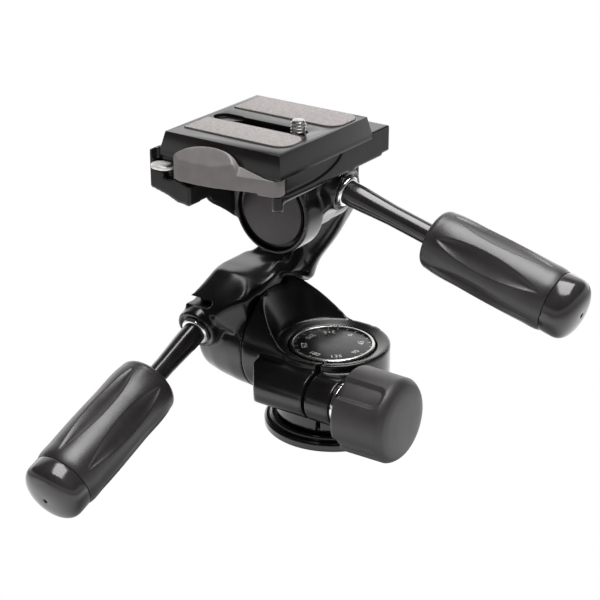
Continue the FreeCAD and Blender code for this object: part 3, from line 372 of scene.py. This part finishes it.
def relax(obj, weight, passes):
    """Smooth the skin by a weight from 0 to 1 at each vertex, so that no step marks the limit."""
    mesh = obj.data
    pairs = np.empty(len(mesh.edges) * 2, np.int32)
    mesh.edges.foreach_get("vertices", pairs)
    start, end = pairs[0::2], pairs[1::2]
    count = len(mesh.vertices)
    neighbours = np.bincount(start, minlength=count) + np.bincount(end, minlength=count)
    at = corners(obj).astype(np.float64)
    pull = 0.5 * np.clip(weight, 0, 1)
    for _ in range(passes):
        for axis in range(3):
            side = at[:, axis]
            total = np.bincount(start, side[end], count) + np.bincount(end, side[start], count)
            at[:, axis] = side + pull * (total / neighbours - side)
    put_back(obj, at)


def ramp(value, low, high):
    """0 at low, 1 at high and a smooth rise between; low may be the larger one."""
    share = np.clip((value - low) / (high - low), 0, 1)
    return share * share * (3 - 2 * share)


def cast(node, name, grid_mm=0.55):
    """Copy of a cast CAD node, its skin rebuilt as an even grid."""
    piece = copy_of(node, name)
    apply_modifier(piece, "REMESH", mode="VOXEL", voxel_size=grid_mm * MM)
    soften(piece, np.ones(len(piece.data.vertices), bool), 2)
    only(piece)
    bpy.ops.object.shade_smooth()
    print(name, "has", len(piece.data.polygons), "faces")
    return piece


# %% [markdown]
# ## The castings
# Pan housing, tilt arm and plate receiver are die castings: generous fillets where walls meet, crisp
# edges only where a cutter has been. Distances from the three joint axes tell a bore or a seat, which
# stays as it is, from a free surface, which is smoothed.

# %% Joint axes, in millimetres
FRONT_TILT_Z = 33.0
SIDE_TILT_X, SIDE_TILT_Z = -13.6, 103.8


def from_pan(at):
    """Distance of every vertex from the pan axis."""
    return np.hypot(at[:, 0], at[:, 1])


def from_front_tilt(at):
    """Distance of every vertex from the front-tilt axis."""
    return np.hypot(at[:, 1], at[:, 2] - FRONT_TILT_Z)


def from_side_tilt(at):
    """Distance of every vertex from the side-tilt axis."""
    return np.hypot(at[:, 0] - SIDE_TILT_X, at[:, 2] - SIDE_TILT_Z)


# %% Pan housing
RING_BORE = 21.4          # the bearing and the dished rim round the dial lie inside this radius
JOINT_FACE = -31.2        # left of here the housing meets the arm
CLAMP_SLIT = (8.3, 1.6)   # middle of the slit between the ears, and how near to it stays sharp
WALL_FOOT = 39.5          # above this height stands only the wall that carries the tilt joint

housing = cast("pan_housing", "pan_housing_casting")
at = corners(housing)
free = (from_pan(at) > RING_BORE) & (at[:, 0] > JOINT_FACE)
free &= np.abs(at[:, 0] - CLAMP_SLIT[0]) > CLAMP_SLIT[1]
soften(housing, free, 8)
at = corners(housing)
soften(housing, free & (at[:, 2] > WALL_FOOT), 20)
dress(housing, "pan_head", "body_black", black_coat, "pan_housing")

# %% [markdown]
# The arm takes several steps, each with a weight that fades out at its limits. First every free edge
# gets its fillet, and the side that sweeps past the housing a much wider one. Then the roof in front
# of the neck, which the solid has in straight facets, is filled up to one even slope and rounded at
# its rim and beside the crease on its right. Last comes the saddle, one hollow sweep from the roof up
# into the neck. The neck's front stays behind the plane that the plate swings past.

# %% Tilt arm
SLIT_X, SLIT_Y = -44.5, -16.5     # the clamp slit lies left of and in front of these
SLIT_Z = (51.6, 55.4)
ROOF_Y = (-24.0, -20.0, -16.0, -12.0, -9.0, -6.5, -3.0)
ROOF_Z = (55.4, 57.0, 58.7, 60.5, 61.9, 62.8, 63.3)     # height of the solid's roof over ROOF_Y
ROOF_SLOPE = 0.54                 # rise of the even slope that fills it
SWING_X, SWING_Z = -31.0, 65.2    # left of and above these the plate swings past the neck
NECK_FRONT = 15.5
NECK_TOP = 92.0

arm = cast("tilt_arm", "tilt_arm_casting")
at = corners(arm)
in_slit = (at[:, 0] < SLIT_X) & (at[:, 1] < SLIT_Y) & (at[:, 2] > SLIT_Z[0]) & (at[:, 2] < SLIT_Z[1])
hold = ramp(from_front_tilt(at), 17.2, 19.0) * ramp(from_side_tilt(at), 8.6, 10.5) * ~in_slit
seam = ramp(at[:, 0], -32.6, -34.4) + ramp(from_front_tilt(at), 28.6, 31.0)
relax(arm, hold * np.clip(seam, 0, 1), 14)

at = corners(arm)
sweep = ramp(at[:, 0], -34.0, -32.4) * ramp(from_front_tilt(at), 27.2, 28.4)
relax(arm, sweep * ramp(at[:, 2], NECK_TOP, 84.0) * hold, 60)

at = corners(arm)
roof = np.interp(at[:, 1], ROOF_Y, ROOF_Z)
slope = np.minimum(ROOF_Z[-1], ROOF_Z[0] + ROOF_SLOPE * (at[:, 1] - ROOF_Y[0]))
skin = ramp(at[:, 2] - roof, -4.0, -1.0) * ramp(at[:, 0], -58.4, -55.0) * ramp(at[:, 0], -40.0, -48.0)
at[:, 2] += np.clip(slope - roof, 0, None) * skin * ramp(at[:, 1], 1.0, -2.0)
put_back(arm, at)

at = corners(arm)
outside = ramp(from_front_tilt(at), 24.4, 26.0) * hold
crown = ramp(at[:, 2], 46.0, 52.0) * ramp(at[:, 1], 6.0, 0.0) * ramp(at[:, 1], -28.0, -22.0)
relax(arm, crown * outside * ramp(at[:, 0], -57.4, -55.0), 10)
crease = ramp(at[:, 0], -48.0, -44.0) * ramp(at[:, 1], 2.0, -2.0) * ramp(at[:, 2], 56.0, 58.0)
relax(arm, crease * outside, 60)

at = corners(arm)
saddle = ramp(at[:, 1], -22.0, -8.0) * ramp(at[:, 2], 50.0, 58.0) * ramp(at[:, 2], NECK_TOP, 76.0)
relax(arm, saddle * ramp(at[:, 1], 23.4, 17.0) * ramp(from_front_tilt(at), 20.0, 24.0) * hold, 16)

at = corners(arm)
swing = (at[:, 0] < SWING_X) & (at[:, 2] > SWING_Z) & (at[:, 1] > 5.0) & (at[:, 1] < NECK_FRONT)
at[swing, 1] = NECK_FRONT
put_back(arm, at)
dress(arm, "tilt_arm", "body_black", black_coat, "tilt_arm")

# %% Plate receiver
MILLED_FROM = 121.6       # platform, jaw and latch housing above this height are milled

receiver = cast("receiver", "receiver_casting")
at = corners(receiver)
free = (from_side_tilt(at) > 17.6) & (at[:, 1] > -50.0)
free |= (from_side_tilt(at) > 12.5) & (at[:, 1] > -24.0)
soften(receiver, free & (at[:, 2] < MILLED_FROM), 10)
dress(receiver, "receiver", "body_black", black_coat, "receiver")

# %% [markdown]
# ## Plate, pads and lever
# The plate is an extrusion cut to length and milled, so its edges are broken by about half a
# millimetre all round. The two pads lie in shallow pockets. The lever is a small casting whose pad
# keeps a clear edge between its top and its front wall.

# %% Plate, pads and lever
deburred("camera_plate", "camera_plate_body", 0.5, "camera_plate", "body_black", black_coat)
deburred("front_pad", "front_cork_pad", 0.25, "camera_plate", "pad_rubber", cork_rubber)
deburred("rear_pad", "rear_cork_pad", 0.25, "camera_plate", "pad_rubber", cork_rubber)

lever = cast("release_lever", "release_lever_casting", 0.3)
soften(lever, np.ones(len(lever.data.vertices), bool), 4)
dress(lever, "release_lever", "lever_metal", grey_lacquer, "release_lever")

# %% [markdown]
# ## Turned pieces
# A lathe gives everything round: an outline, one turn about the axis, and the ends closed. The
# helper below starts from a plane merged to one point, extrudes it along the outline and spins it.
# Long runs of an outline are cut into short steps first, so that the flutes and scallops pressed
# into the skin later have enough faces to bend.

# %% Helpers for turned pieces
def smooth_run(points, step):
    """Points on a smooth curve through (radius, height) points, its slopes weighted by their spacing."""
    knots = [Vector(point) for point in points]
    spans = [(b - a).length for a, b in zip(knots, knots[1:])]
    chords = [(b - a) / span for a, b, span in zip(knots, knots[1:], spans)]
    slopes = [chords[0]]
    for before, after, near, far in zip(chords, chords[1:], spans, spans[1:]):
        slopes.append((before * far + after * near) / (near + far))
    slopes.append(chords[-1])
    run = [tuple(knots[0])]
    for index, span in enumerate(spans):
        count = max(1, round(span / step))
        for part in range(1, count + 1):
            t = part / count
            point = (knots[index] * (2 * t ** 3 - 3 * t ** 2 + 1)
                     + knots[index + 1] * (3 * t ** 2 - 2 * t ** 3)
                     + slopes[index] * (span * (t ** 3 - 2 * t ** 2 + t))
                     + slopes[index + 1] * (span * (t ** 3 - t ** 2)))
            run.append(tuple(point))
    return run


def straight_run(a, b, step):
    """Points on a straight line through (radius, height) space, about a step apart."""
    count = max(1, round(math.dist(a, b) / step))
    return [(a[0] + (b[0] - a[0]) * k / count, a[1] + (b[1] - a[1]) * k / count) for k in range(count + 1)]


def drawn(name, outline):
    """A new object in edit mode that is one line through (radius, height) points in millimetres."""
    bpy.ops.object.select_all(action="DESELECT")
    bpy.ops.mesh.primitive_plane_add(size=MM)
    piece = bpy.context.active_object
    piece.name = piece.data.name = name
    bpy.ops.object.mode_set(mode="EDIT")
    bpy.ops.mesh.select_mode(type="VERT")
    bpy.ops.mesh.select_all(action="SELECT")
    bpy.ops.mesh.merge(type="CENTER")
    bpy.ops.transform.translate(value=(outline[0][0] * MM, 0, outline[0][1] * MM))
    for a, b in zip(outline, outline[1:]):
        bpy.ops.mesh.extrude_vertices_move(
            TRANSFORM_OT_translate={"value": ((b[0] - a[0]) * MM, 0, (b[1] - a[1]) * MM)})
    return piece


def spun(name, outline, steps=96):
    """Turn an outline of (radius, height) points in millimetres once about Z."""
    piece = drawn(name, outline)
    bpy.ops.mesh.select_all(action="SELECT")
    bpy.ops.mesh.spin(steps=steps, angle=2 * math.pi, center=(0, 0, 0), axis=(0, 0, 1))
    bpy.ops.mesh.select_all(action="SELECT")
    bpy.ops.mesh.remove_doubles(threshold=0.003 * MM)
    bpy.ops.mesh.normals_make_consistent(inside=False)
    bpy.ops.object.mode_set(mode="OBJECT")
    only(piece)
    bpy.ops.object.shade_smooth_by_angle(angle=math.radians(40))
    return piece


def press(piece, depth_at):
    """Push the skin towards Z by depth_at(radius, angle, height), all in millimetres."""
    at = corners(piece)
    radius = np.hypot(at[:, 0], at[:, 1])
    angle = np.arctan2(at[:, 1], at[:, 0])
    shrink = np.ones(len(at))
    depth = depth_at(radius, angle, at[:, 2])
    shrink[radius > 1] = 1 - depth[radius > 1] / radius[radius > 1]
    at[:, 0] *= shrink
    at[:, 1] *= shrink
    put_back(piece, at)


def lay(piece, origin, direction, turn=0.0):
    """Place a piece made along +Z: its foot at origin (mm), its axis along direction, turned about it."""
    aim = Vector(direction).to_track_quat("Z", "Y").to_matrix().to_4x4()
    piece.data.transform(Matrix.Translation(Vector(origin) * MM) @ aim @ Matrix.Rotation(turn, 4, "Z"))
    piece.data.update()
    return piece


# %% [markdown]
# ## The two handles
# Each handle is a steel rod with a moulded grip and an end cap. The grip swells a little in its
# middle, and six long scallops are pressed into it: each starts in a point near the rod, grows wider
# and ends in a round. A hairline shows where the cap meets the grip.

# %% Handle pieces
SHANK_R = 4.0             # the rod's threaded end, inside the boss
ROD_ROOT_R = 5.2          # the rod next to its collar, and
ROD_R = 4.4               # where it enters the grip
ROD_IN_GRIP = 40.0
BOSS_GAP = 0.2            # between the boss and the collar
COLLAR_R, COLLAR_T = 6.6, 2.2
CAP_LEN = 12.0
SCALLOPS = 6
SCALLOP_DEPTH = 1.3
SCALLOP_HALF = 4.6        # half the width of a scallop at its widest
SCALLOP_FOOT = 5.5        # plain grip before a scallop starts, and
SCALLOP_END = 4.0         # behind its round end


def scallop_depth(g, length):
    """Depth of the pressed scallops at every point of a grip of radius g and that length."""
    def depth_at(radius, angle, height):
        total = np.zeros(len(radius))
        along = np.clip((height - SCALLOP_FOOT) / (length - SCALLOP_FOOT - SCALLOP_END), 0, 1)
        taper = np.clip(np.sin(np.pi * along ** 0.85), 0, 1)
        half_width = SCALLOP_HALF * taper ** 0.75
        for index in range(SCALLOPS):
            middle = 2 * math.pi * (index + 0.5) / SCALLOPS
            across = np.abs((angle - middle + math.pi) % (2 * math.pi) - math.pi) * g
            inside = across < half_width
            share = np.where(inside, 1 - (across / np.maximum(half_width, 0.01)) ** 2, 0)
            total += SCALLOP_DEPTH * share * taper ** 0.5
        total[radius < g * 0.85] = 0
        return total
    return depth_at


def grip_outline(g, length):
    """Outline of a grip: bore for the rod, foot, swelling side and seam."""
    bore = ROD_IN_GRIP + 0.5
    side = smooth_run([
        (g * 0.80, 0.0), (g * 0.87, 0.35), (g * 0.92, 1.3), (g * 0.95, 3.6), (g * 0.985, length * 0.35),
        (g, length * 0.6), (g * 0.985, length * 0.85), (g * 0.962, length - 0.9), (g * 0.945, length - 0.15),
    ], 0.6)
    foot = [(0, bore), (ROD_R, bore), (ROD_R, 0.4), (ROD_R + 0.5, 0.0)]
    return foot + side + [(g * 0.92, length), (0, length)]


def cap_outline(g):
    """Outline of an end cap: short cylinder, round shoulder, shallow dome, small centre hole."""
    side = [(g * 0.90, 0.1), (g * 0.935, 0.15), (g * 0.955, 0.7)]
    reach, straight, rise = g * 0.952, 4.8, 7.1
    power = 2 / 2.5           # fuller than a circle's quarter, as the exponent of a superellipse
    shoulder = []
    for part in range(25):
        t = math.pi / 2 * part / 24
        shoulder.append((reach * math.cos(t) ** power + 0.001, straight + rise * math.sin(t) ** power))
    hole = [(1.15, 11.82), (0.95, 11.6), (0.9, 10.4), (0, 10.4)]
    return [(0, 0.1)] + side + [(r, z) for r, z in shoulder if r > 1.6] + hole


def build_handle(prefix, body, start, direction, boss, rod_free, grip_len, g, shank_from):
    """All four pieces of one handle, from its axis and the lengths along it."""
    axis = Vector(direction).normalized()
    origin = Vector(start)
    rod_foot = boss + BOSS_GAP
    shank_foot = shank_from - rod_foot
    rod_end = rod_free + ROD_IN_GRIP
    root = COLLAR_T + 0.02
    rod = spun(prefix + "_rod_enamelled", [
        (0, shank_foot), (SHANK_R - 0.4, shank_foot), (SHANK_R, shank_foot + 0.4), (SHANK_R, root),
        (ROD_ROOT_R - 0.2, root), (ROD_ROOT_R, 2.45)]
        + smooth_run([(ROD_ROOT_R, 2.6), (ROD_ROOT_R, 8.2), (4.85, 15.0), (ROD_R, 24.2)], 1.5)
        + [(ROD_R, rod_end), (0, rod_end)], 64)
    lay(rod, origin + axis * rod_foot, axis)
    dress(rod, body, "rod_steel", black_enamel, prefix + "_rod")

    bore = SHANK_R + 0.02
    collar = spun(prefix + "_collar_plated", [(bore, 0), (COLLAR_R - 0.4, 0), (COLLAR_R, 0.4)]
                  + smooth_run([(COLLAR_R, 0.5), (COLLAR_R, 1.4), (6.3, 1.95), (5.8, COLLAR_T)], 0.3)
                  + [(4.5, COLLAR_T), (bore, 1.9), (bore, 0)], 64)
    lay(collar, origin + axis * rod_foot, axis)
    dress(collar, body, "chrome", chrome, prefix + "_collar")

    body_len = grip_len - CAP_LEN
    grip = spun(prefix + "_grip_moulded", grip_outline(g, body_len), 240)
    press(grip, scallop_depth(g, body_len))
    lay(grip, origin + axis * (boss + rod_free), axis)
    dress(grip, body, "grip_grey", grip_rubber, prefix + "_grip")

    cap = spun(prefix + "_cap_moulded", cap_outline(g), 96)
    lay(cap, origin + axis * (boss + rod_free + body_len), axis)
    dress(cap, body, "cap_grey", cap_nylon, prefix + "_end_cap")


tilt_slope = math.radians(21.1)
build_handle("tilt_handle", "tilt_handle", start=(-52.0, 0, 53.0),
             direction=(0, -math.cos(tilt_slope), -math.sin(tilt_slope)),
             boss=31.0, rod_free=35.6, grip_len=72.0, g=14.6, shank_from=13.1)
side_slope = math.radians(14.8)
build_handle("side_handle", "side_handle", start=(SIDE_TILT_X, -8.0, 119.3),
             direction=(math.cos(side_slope), 0, -math.sin(side_slope)),
             boss=25.0, rod_free=45.0, grip_len=68.0, g=13.3, shank_from=6.6)

# %% [markdown]
# ## The pan knob
# Four flutes for the finger tips are open towards the clamp and run out before the knob's outer rim.
# Their floors are nearly flat and their walls steep, but rounded, as a soft moulding has to be to leave
# its mould. Pressing the skin inwards by a bell of the angle with a flat top gives that in one go.

# %% Pan knob
KNOB_START = (27.2, -25.0, 25.0)
KNOB_R = 18.4
KNOB_FLUTES = 4
FLUTE_DEPTH = 1.6
FLUTE_HALF = 5.6          # half the width of a flute
FLUTE_END = 21.3          # where a flute's rounded end lies, from the knob's foot
FLUTE_ROUND = 5.0
FLUTE_WALL = 1.9          # width over which a flute's wall comes down to its floor
FLUTE_TURN = 128.0        # direction of the first flute, from +Y towards +Z


def flute_depth(radius, angle, height):
    """Depth of the flutes at every point of the knob."""
    pitch = 2 * math.pi / KNOB_FLUTES
    across = np.abs((angle + pitch / 2) % pitch - pitch / 2) * KNOB_R
    along = np.clip(height - FLUTE_END + FLUTE_ROUND, 0, None)
    inside = FLUTE_HALF - (np.abs(across) ** 3 + (along * FLUTE_HALF / FLUTE_ROUND) ** 3) ** (1 / 3)
    depth = FLUTE_DEPTH * ramp(inside, 0.0, FLUTE_WALL)
    depth[radius < 12.0] = 0
    return depth


knob_side = smooth_run([(16.8, 0.0), (17.6, 0.25), (18.25, 0.9), (18.55, 2.0)], 0.4)
knob_side += straight_run((18.55, 2.4), (18.3, 20.6), 0.4)
knob_side += smooth_run([(18.28, 21.2), (17.9, 22.1), (17.2, 23.1), (16.2, 24.1)], 0.4)
knob_side += smooth_run([(15.7, 24.4), (13.6, 24.95), (9.0, 25.4), (1.0, 25.6)], 1.0)
knob = spun("pan_knob_moulded", [(0, 19.6), (9.0, 19.6), (9.0, 0.3), (9.3, 0.0)]
            + straight_run((10.0, 0.0), (16.4, 0.0), 1.0) + knob_side + [(0, 25.6)], 300)
press(knob, flute_depth)
knob_turn = Vector((1, 0, 0)).to_track_quat("Z", "Y").to_matrix() @ Vector((1, 0, 0))
lay(knob, KNOB_START, (1, 0, 0), math.radians(FLUTE_TURN) - math.atan2(knob_turn.z, knob_turn.y))
dress(knob, "pan_knob", "grip_grey", knob_rubber, "knob_grip")
deburred("knob_core", "knob_hub", 0.5, "pan_knob", "body_black", black_coat)
deburred("knob_washer", "knob_washer_plated", 0.3, "pan_head", "chrome", chrome)

# %% [markdown]
# ## The dial
# A bright ring holds a black disc with a scale of degrees. Numbers stand every 45 degrees with short
# ticks between them. They are printed, so they are real shapes but hardly thicker than the ink.

# %% Dial, ring and scale
deburred("dial_bezel", "dial_ring", 0.25, "base", "aluminium", bright_ring)
deburred("dial_disc", "dial_face", 0.15, "base", "dial_black", dial_black)

DIAL_TOP = 37.4
DIAL_TURN = -4.5          # degrees by which the whole scale is turned
INK = 0.03                # thickness of the print
LABEL_R, LABEL_SIZE = 12.6, 3.6
TICK_END_R, TICK_W = 16.7, 0.22
LONG_TICK, SHORT_TICK = 1.5, 0.9


def on_dial(radius, angle):
    """A place on the dial's face, in metres."""
    return (radius * MM * math.cos(angle), radius * MM * math.sin(angle), DIAL_TOP * MM)


marks = []
for index in range(8):
    angle = math.radians(45 * index + DIAL_TURN)
    bpy.ops.object.select_all(action="DESELECT")
    bpy.ops.object.text_add(location=on_dial(LABEL_R, angle), rotation=(0, 0, angle + math.pi / 2))
    label = bpy.context.active_object
    label.data.body = str((90 - 45 * index) % 360)
    label.data.align_x = "CENTER"
    label.data.align_y = "CENTER"
    label.data.size = LABEL_SIZE * MM
    label.data.extrude = INK * MM / 2
    label.data.resolution_u = 3
    bpy.ops.object.convert(target="MESH")
    marks.append(bpy.context.active_object)
for index in range(24):
    angle = math.radians(15 * index + DIAL_TURN)
    length = LONG_TICK if index % 3 == 0 else SHORT_TICK
    bpy.ops.object.select_all(action="DESELECT")
    bpy.ops.mesh.primitive_cube_add(size=1, location=on_dial(TICK_END_R - length / 2, angle),
                                    rotation=(0, 0, angle), scale=(length * MM, TICK_W * MM, INK * MM))
    marks.append(bpy.context.active_object)
bpy.ops.object.select_all(action="DESELECT")
for mark in marks:
    mark.select_set(True)
bpy.context.view_layer.objects.active = marks[0]
bpy.ops.object.join()
scale_print = bpy.context.active_object
scale_print.name = scale_print.data.name = "dial_scale"
bpy.ops.object.transform_apply(location=True, rotation=True, scale=True)
dress(scale_print, "base", "dial_black", white_ink)

# %% [markdown]
# ## Screws, caps and small parts
# What is left is turned or stamped: cap discs, bolts, the catch. A narrow bevel on a merged copy of
# each solid is all that they need. The camera screw is the exception, because its thread is seen
# from close by. A single tooth wound up by the Screw modifier makes it.

# %% Camera screw with its thread
SCREW_X, SCREW_Y = 2.8, -30.0
THREAD_FOOT = 140.85
THREAD_TURNS = 4
PITCH = 1.27
tooth = [(2.62, 0.0), (3.1, 0.42), (3.175, 0.55), (3.1, 0.68), (2.62, 1.1), (2.62, PITCH)]
thread = drawn("camera_screw_thread", tooth)
bpy.ops.object.mode_set(mode="OBJECT")
apply_modifier(thread, "SCREW", angle=2 * math.pi, screw_offset=PITCH * MM, iterations=THREAD_TURNS,
               steps=48, render_steps=48, use_merge_vertices=True)
thread.data.transform(Matrix.Translation((0, 0, THREAD_FOOT * MM)))
core = spun("camera_screw_core", [
    (0, 133.4), (6.2, 133.4), (6.6, 133.8), (6.6, 135.6), (6.2, 136.0), (2.4, 136.0), (2.4, 142.3),
    (2.75, 142.6), (2.75, 146.4), (2.35, 147.0), (1.6, 147.2), (0, 147.2)], 48)
only(thread)
core.select_set(True)
bpy.context.view_layer.objects.active = core
bpy.ops.object.join()
screw = bpy.context.active_object
screw.name = screw.data.name = "camera_screw_threaded"
screw.data.transform(Matrix.Translation((SCREW_X * MM, SCREW_Y * MM, 0)))
dress(screw, "camera_screw", "steel", zinc_steel, "camera_screw")

# %% Deburred copies of the small parts
for node, width, body, slot, finish in (
    ("base_flange", 0.5, "base", "body_black", black_coat),
    ("thread_insert", 0.4, "base", "steel", zinc_steel),
    ("front_spindle_cap", 0.5, "pan_head", "cap_satin", disc_grey),
    ("side_spindle_cap", 0.5, "tilt_arm", "cap_satin", disc_grey),
    ("side_spindle_bolt", 0.3, "tilt_arm", "steel", zinc_steel),
    ("lever_pivot_post", 0.2, "receiver", "steel", zinc_steel),
    ("safety_catch", 0.35, "safety_catch", "chrome", satin_nickel),
    ("screw_slider", 0.2, "screw_slider", "steel", zinc_steel),
):
    deburred(node, node + "_deburred", width, body, slot, finish)

# %% [markdown]
# ## The pieces inside
# Spindles, sleeves, plugs, ring, washer, spring and studs sit inside the head. They are shown as the
# frame has them, each in its real material, because a joint at its limit can lay one bare.

# %% Finishes of the pieces inside
finished = set()
for slot, finish, nodes in (
    ("steel", zinc_steel, ("front_spindle_bolt", "front_tilt_spindle", "pan_clamp_stud",
                           "pan_snap_ring", "side_tilt_spindle", "catch_spring")),
    ("bearing_plastic", acetal, ("front_tilt_sleeve", "side_tilt_sleeve", "pan_sleeve",
                                 "pan_thrust_washer", "front_lock_plug", "side_lock_plug")),
):
    for node in nodes:
        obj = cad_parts[node]
        obj.data.materials.clear()
        obj.data.materials.append(finish)
        finished.add(node)
left = [node for node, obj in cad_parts.items() if not obj.hide_render and node not in finished]
print("nodes without a finish:", left)

# %% [markdown]
# ## Floor, light and camera
# The head is held by its tripod thread, so the floor lies below it. The black coat shows little of its
# own colour: what the eye reads as its shape is what it mirrors. A light table shines up from below,
# dimmed in its middle so that the undersides stay dark. Behind the head, to its left, stands a bright
# backdrop that ends above it, for the tops; a low band of light round the horizon draws the edges
# of the upright walls. One softbox hangs overhead. The camera itself sees plain white all round.

# %% Helpers for the light
def rise(tree, value, start, end, bottom, top):
    """A smooth change from bottom to top while the value goes from start to end."""
    return add_node(tree, "ShaderNodeMapRange",
                    {"interpolation_type": "SMOOTHSTEP", "From Min": start, "From Max": end,
                     "To Min": bottom, "To Max": top}, {"Value": value}).outputs["Result"]


def light_but_plain(tree, kind, output, strength):
    """Shine with a varying strength on the head, and in even white into the camera."""
    lit = add_node(tree, kind, links={"Strength": strength})
    plain = add_node(tree, kind, {"Strength": 1.0})
    for white in (lit, plain):
        white.inputs["Color"].default_value = (1, 1, 1, 1)
    seen = add_node(tree, "ShaderNodeLightPath").outputs["Is Camera Ray"]
    mixed = add_node(tree, "ShaderNodeMixShader", links={0: seen, 1: lit.outputs[0], 2: plain.outputs[0]})
    add_node(tree, output, links={"Surface": mixed.outputs[0]})


# %% Light table
TABLE_Z = -0.11
TABLE_SIZE = 1.9
SPOTS = (                 # middle, start and end of the change (m), strength outside and inside
    ((0.0, 0.0, 0.0), 0.62, 0.28, 0.55, 1.7),
    ((0.0, 0.0, 0.0), 0.24, 0.08, 0.0, -1.3),
    ((-0.29, -0.42, 0.0), 0.20, 0.08, 0.0, 0.6),
)

bpy.ops.object.select_all(action="DESELECT")
bpy.ops.mesh.primitive_plane_add(size=TABLE_SIZE, location=(0, 0, TABLE_Z))
table = bpy.context.active_object
table.name = "light_table"
opal = bpy.data.materials.new("lit_opal_glass")
opal.use_nodes = True
tree = opal.node_tree
tree.nodes.clear()
place = add_node(tree, "ShaderNodeTexCoord").outputs["Object"]
total = None
for middle, start, end, around, within in SPOTS:
    away = add_node(tree, "ShaderNodeVectorMath", {"operation": "DISTANCE", 1: middle}, {0: place})
    glow = rise(tree, away.outputs["Value"], start, end, around, within)
    total = glow if total is None else add_node(
        tree, "ShaderNodeMath", {"operation": "ADD"}, {0: total, 1: glow}).outputs["Value"]
light_but_plain(tree, "ShaderNodeEmission", "ShaderNodeOutputMaterial", total)
table.data.materials.append(opal)

# %% Dark studio with a bright backdrop and a light horizon
BACKDROP_HEADING = (-0.57, 0.82, 0.0)

world = bpy.data.worlds.new("studio")
bpy.context.scene.world = world
world.use_nodes = True
tree = world.node_tree
tree.nodes.clear()
heading = add_node(tree, "ShaderNodeTexCoord").outputs["Generated"]
climb = add_node(tree, "ShaderNodeSeparateXYZ", links={"Vector": heading}).outputs["Z"]
toward = add_node(tree, "ShaderNodeVectorMath", {"operation": "DOT_PRODUCT", 1: BACKDROP_HEADING},
                  {0: heading}).outputs["Value"]
backdrop = add_node(tree, "ShaderNodeMath", {"operation": "MULTIPLY"},
                    {0: rise(tree, toward, 0.55, 0.88, 0.0, 1.5), 1: rise(tree, climb, 0.76, 0.56, 0.0, 1.0)})
total = add_node(tree, "ShaderNodeMath", {"operation": "ADD"},
                 {0: backdrop.outputs["Value"], 1: rise(tree, climb, 0.16, 0.02, 0.05, 0.8)})
light_but_plain(tree, "ShaderNodeBackground", "ShaderNodeOutputWorld", total.outputs["Value"])

# %% Softbox
bpy.ops.object.light_add(type="AREA", location=(0.10, 0.02, 1.0))
lamp = bpy.context.active_object
lamp.name = "overhead"
lamp.data.shape = "RECTANGLE"
lamp.data.size, lamp.data.size_y = 0.9, 0.66
lamp.data.energy = 18.5
lamp.rotation_mode = "QUATERNION"
lamp.rotation_quaternion = (Vector((0.0, -0.02, 0.07)) - lamp.location).to_track_quat("-Z", "Y")

# %% Camera
bpy.ops.object.camera_add(
    location=(0.3642, -0.5479, 0.3422),
    rotation=(math.pi / 2 - math.radians(23.35), 0, math.radians(34.85)))
camera = bpy.context.active_object
camera.data.sensor_width = 36.0
camera.data.lens = 99.9
camera.data.clip_start, camera.data.clip_end = 0.01, 20.0
bpy.context.scene.camera = camera
bpy.context.scene.view_settings.view_transform = "Standard"

# %% Count the faces
print("faces in all:", sum(len(p.data.polygons) for p in pieces))
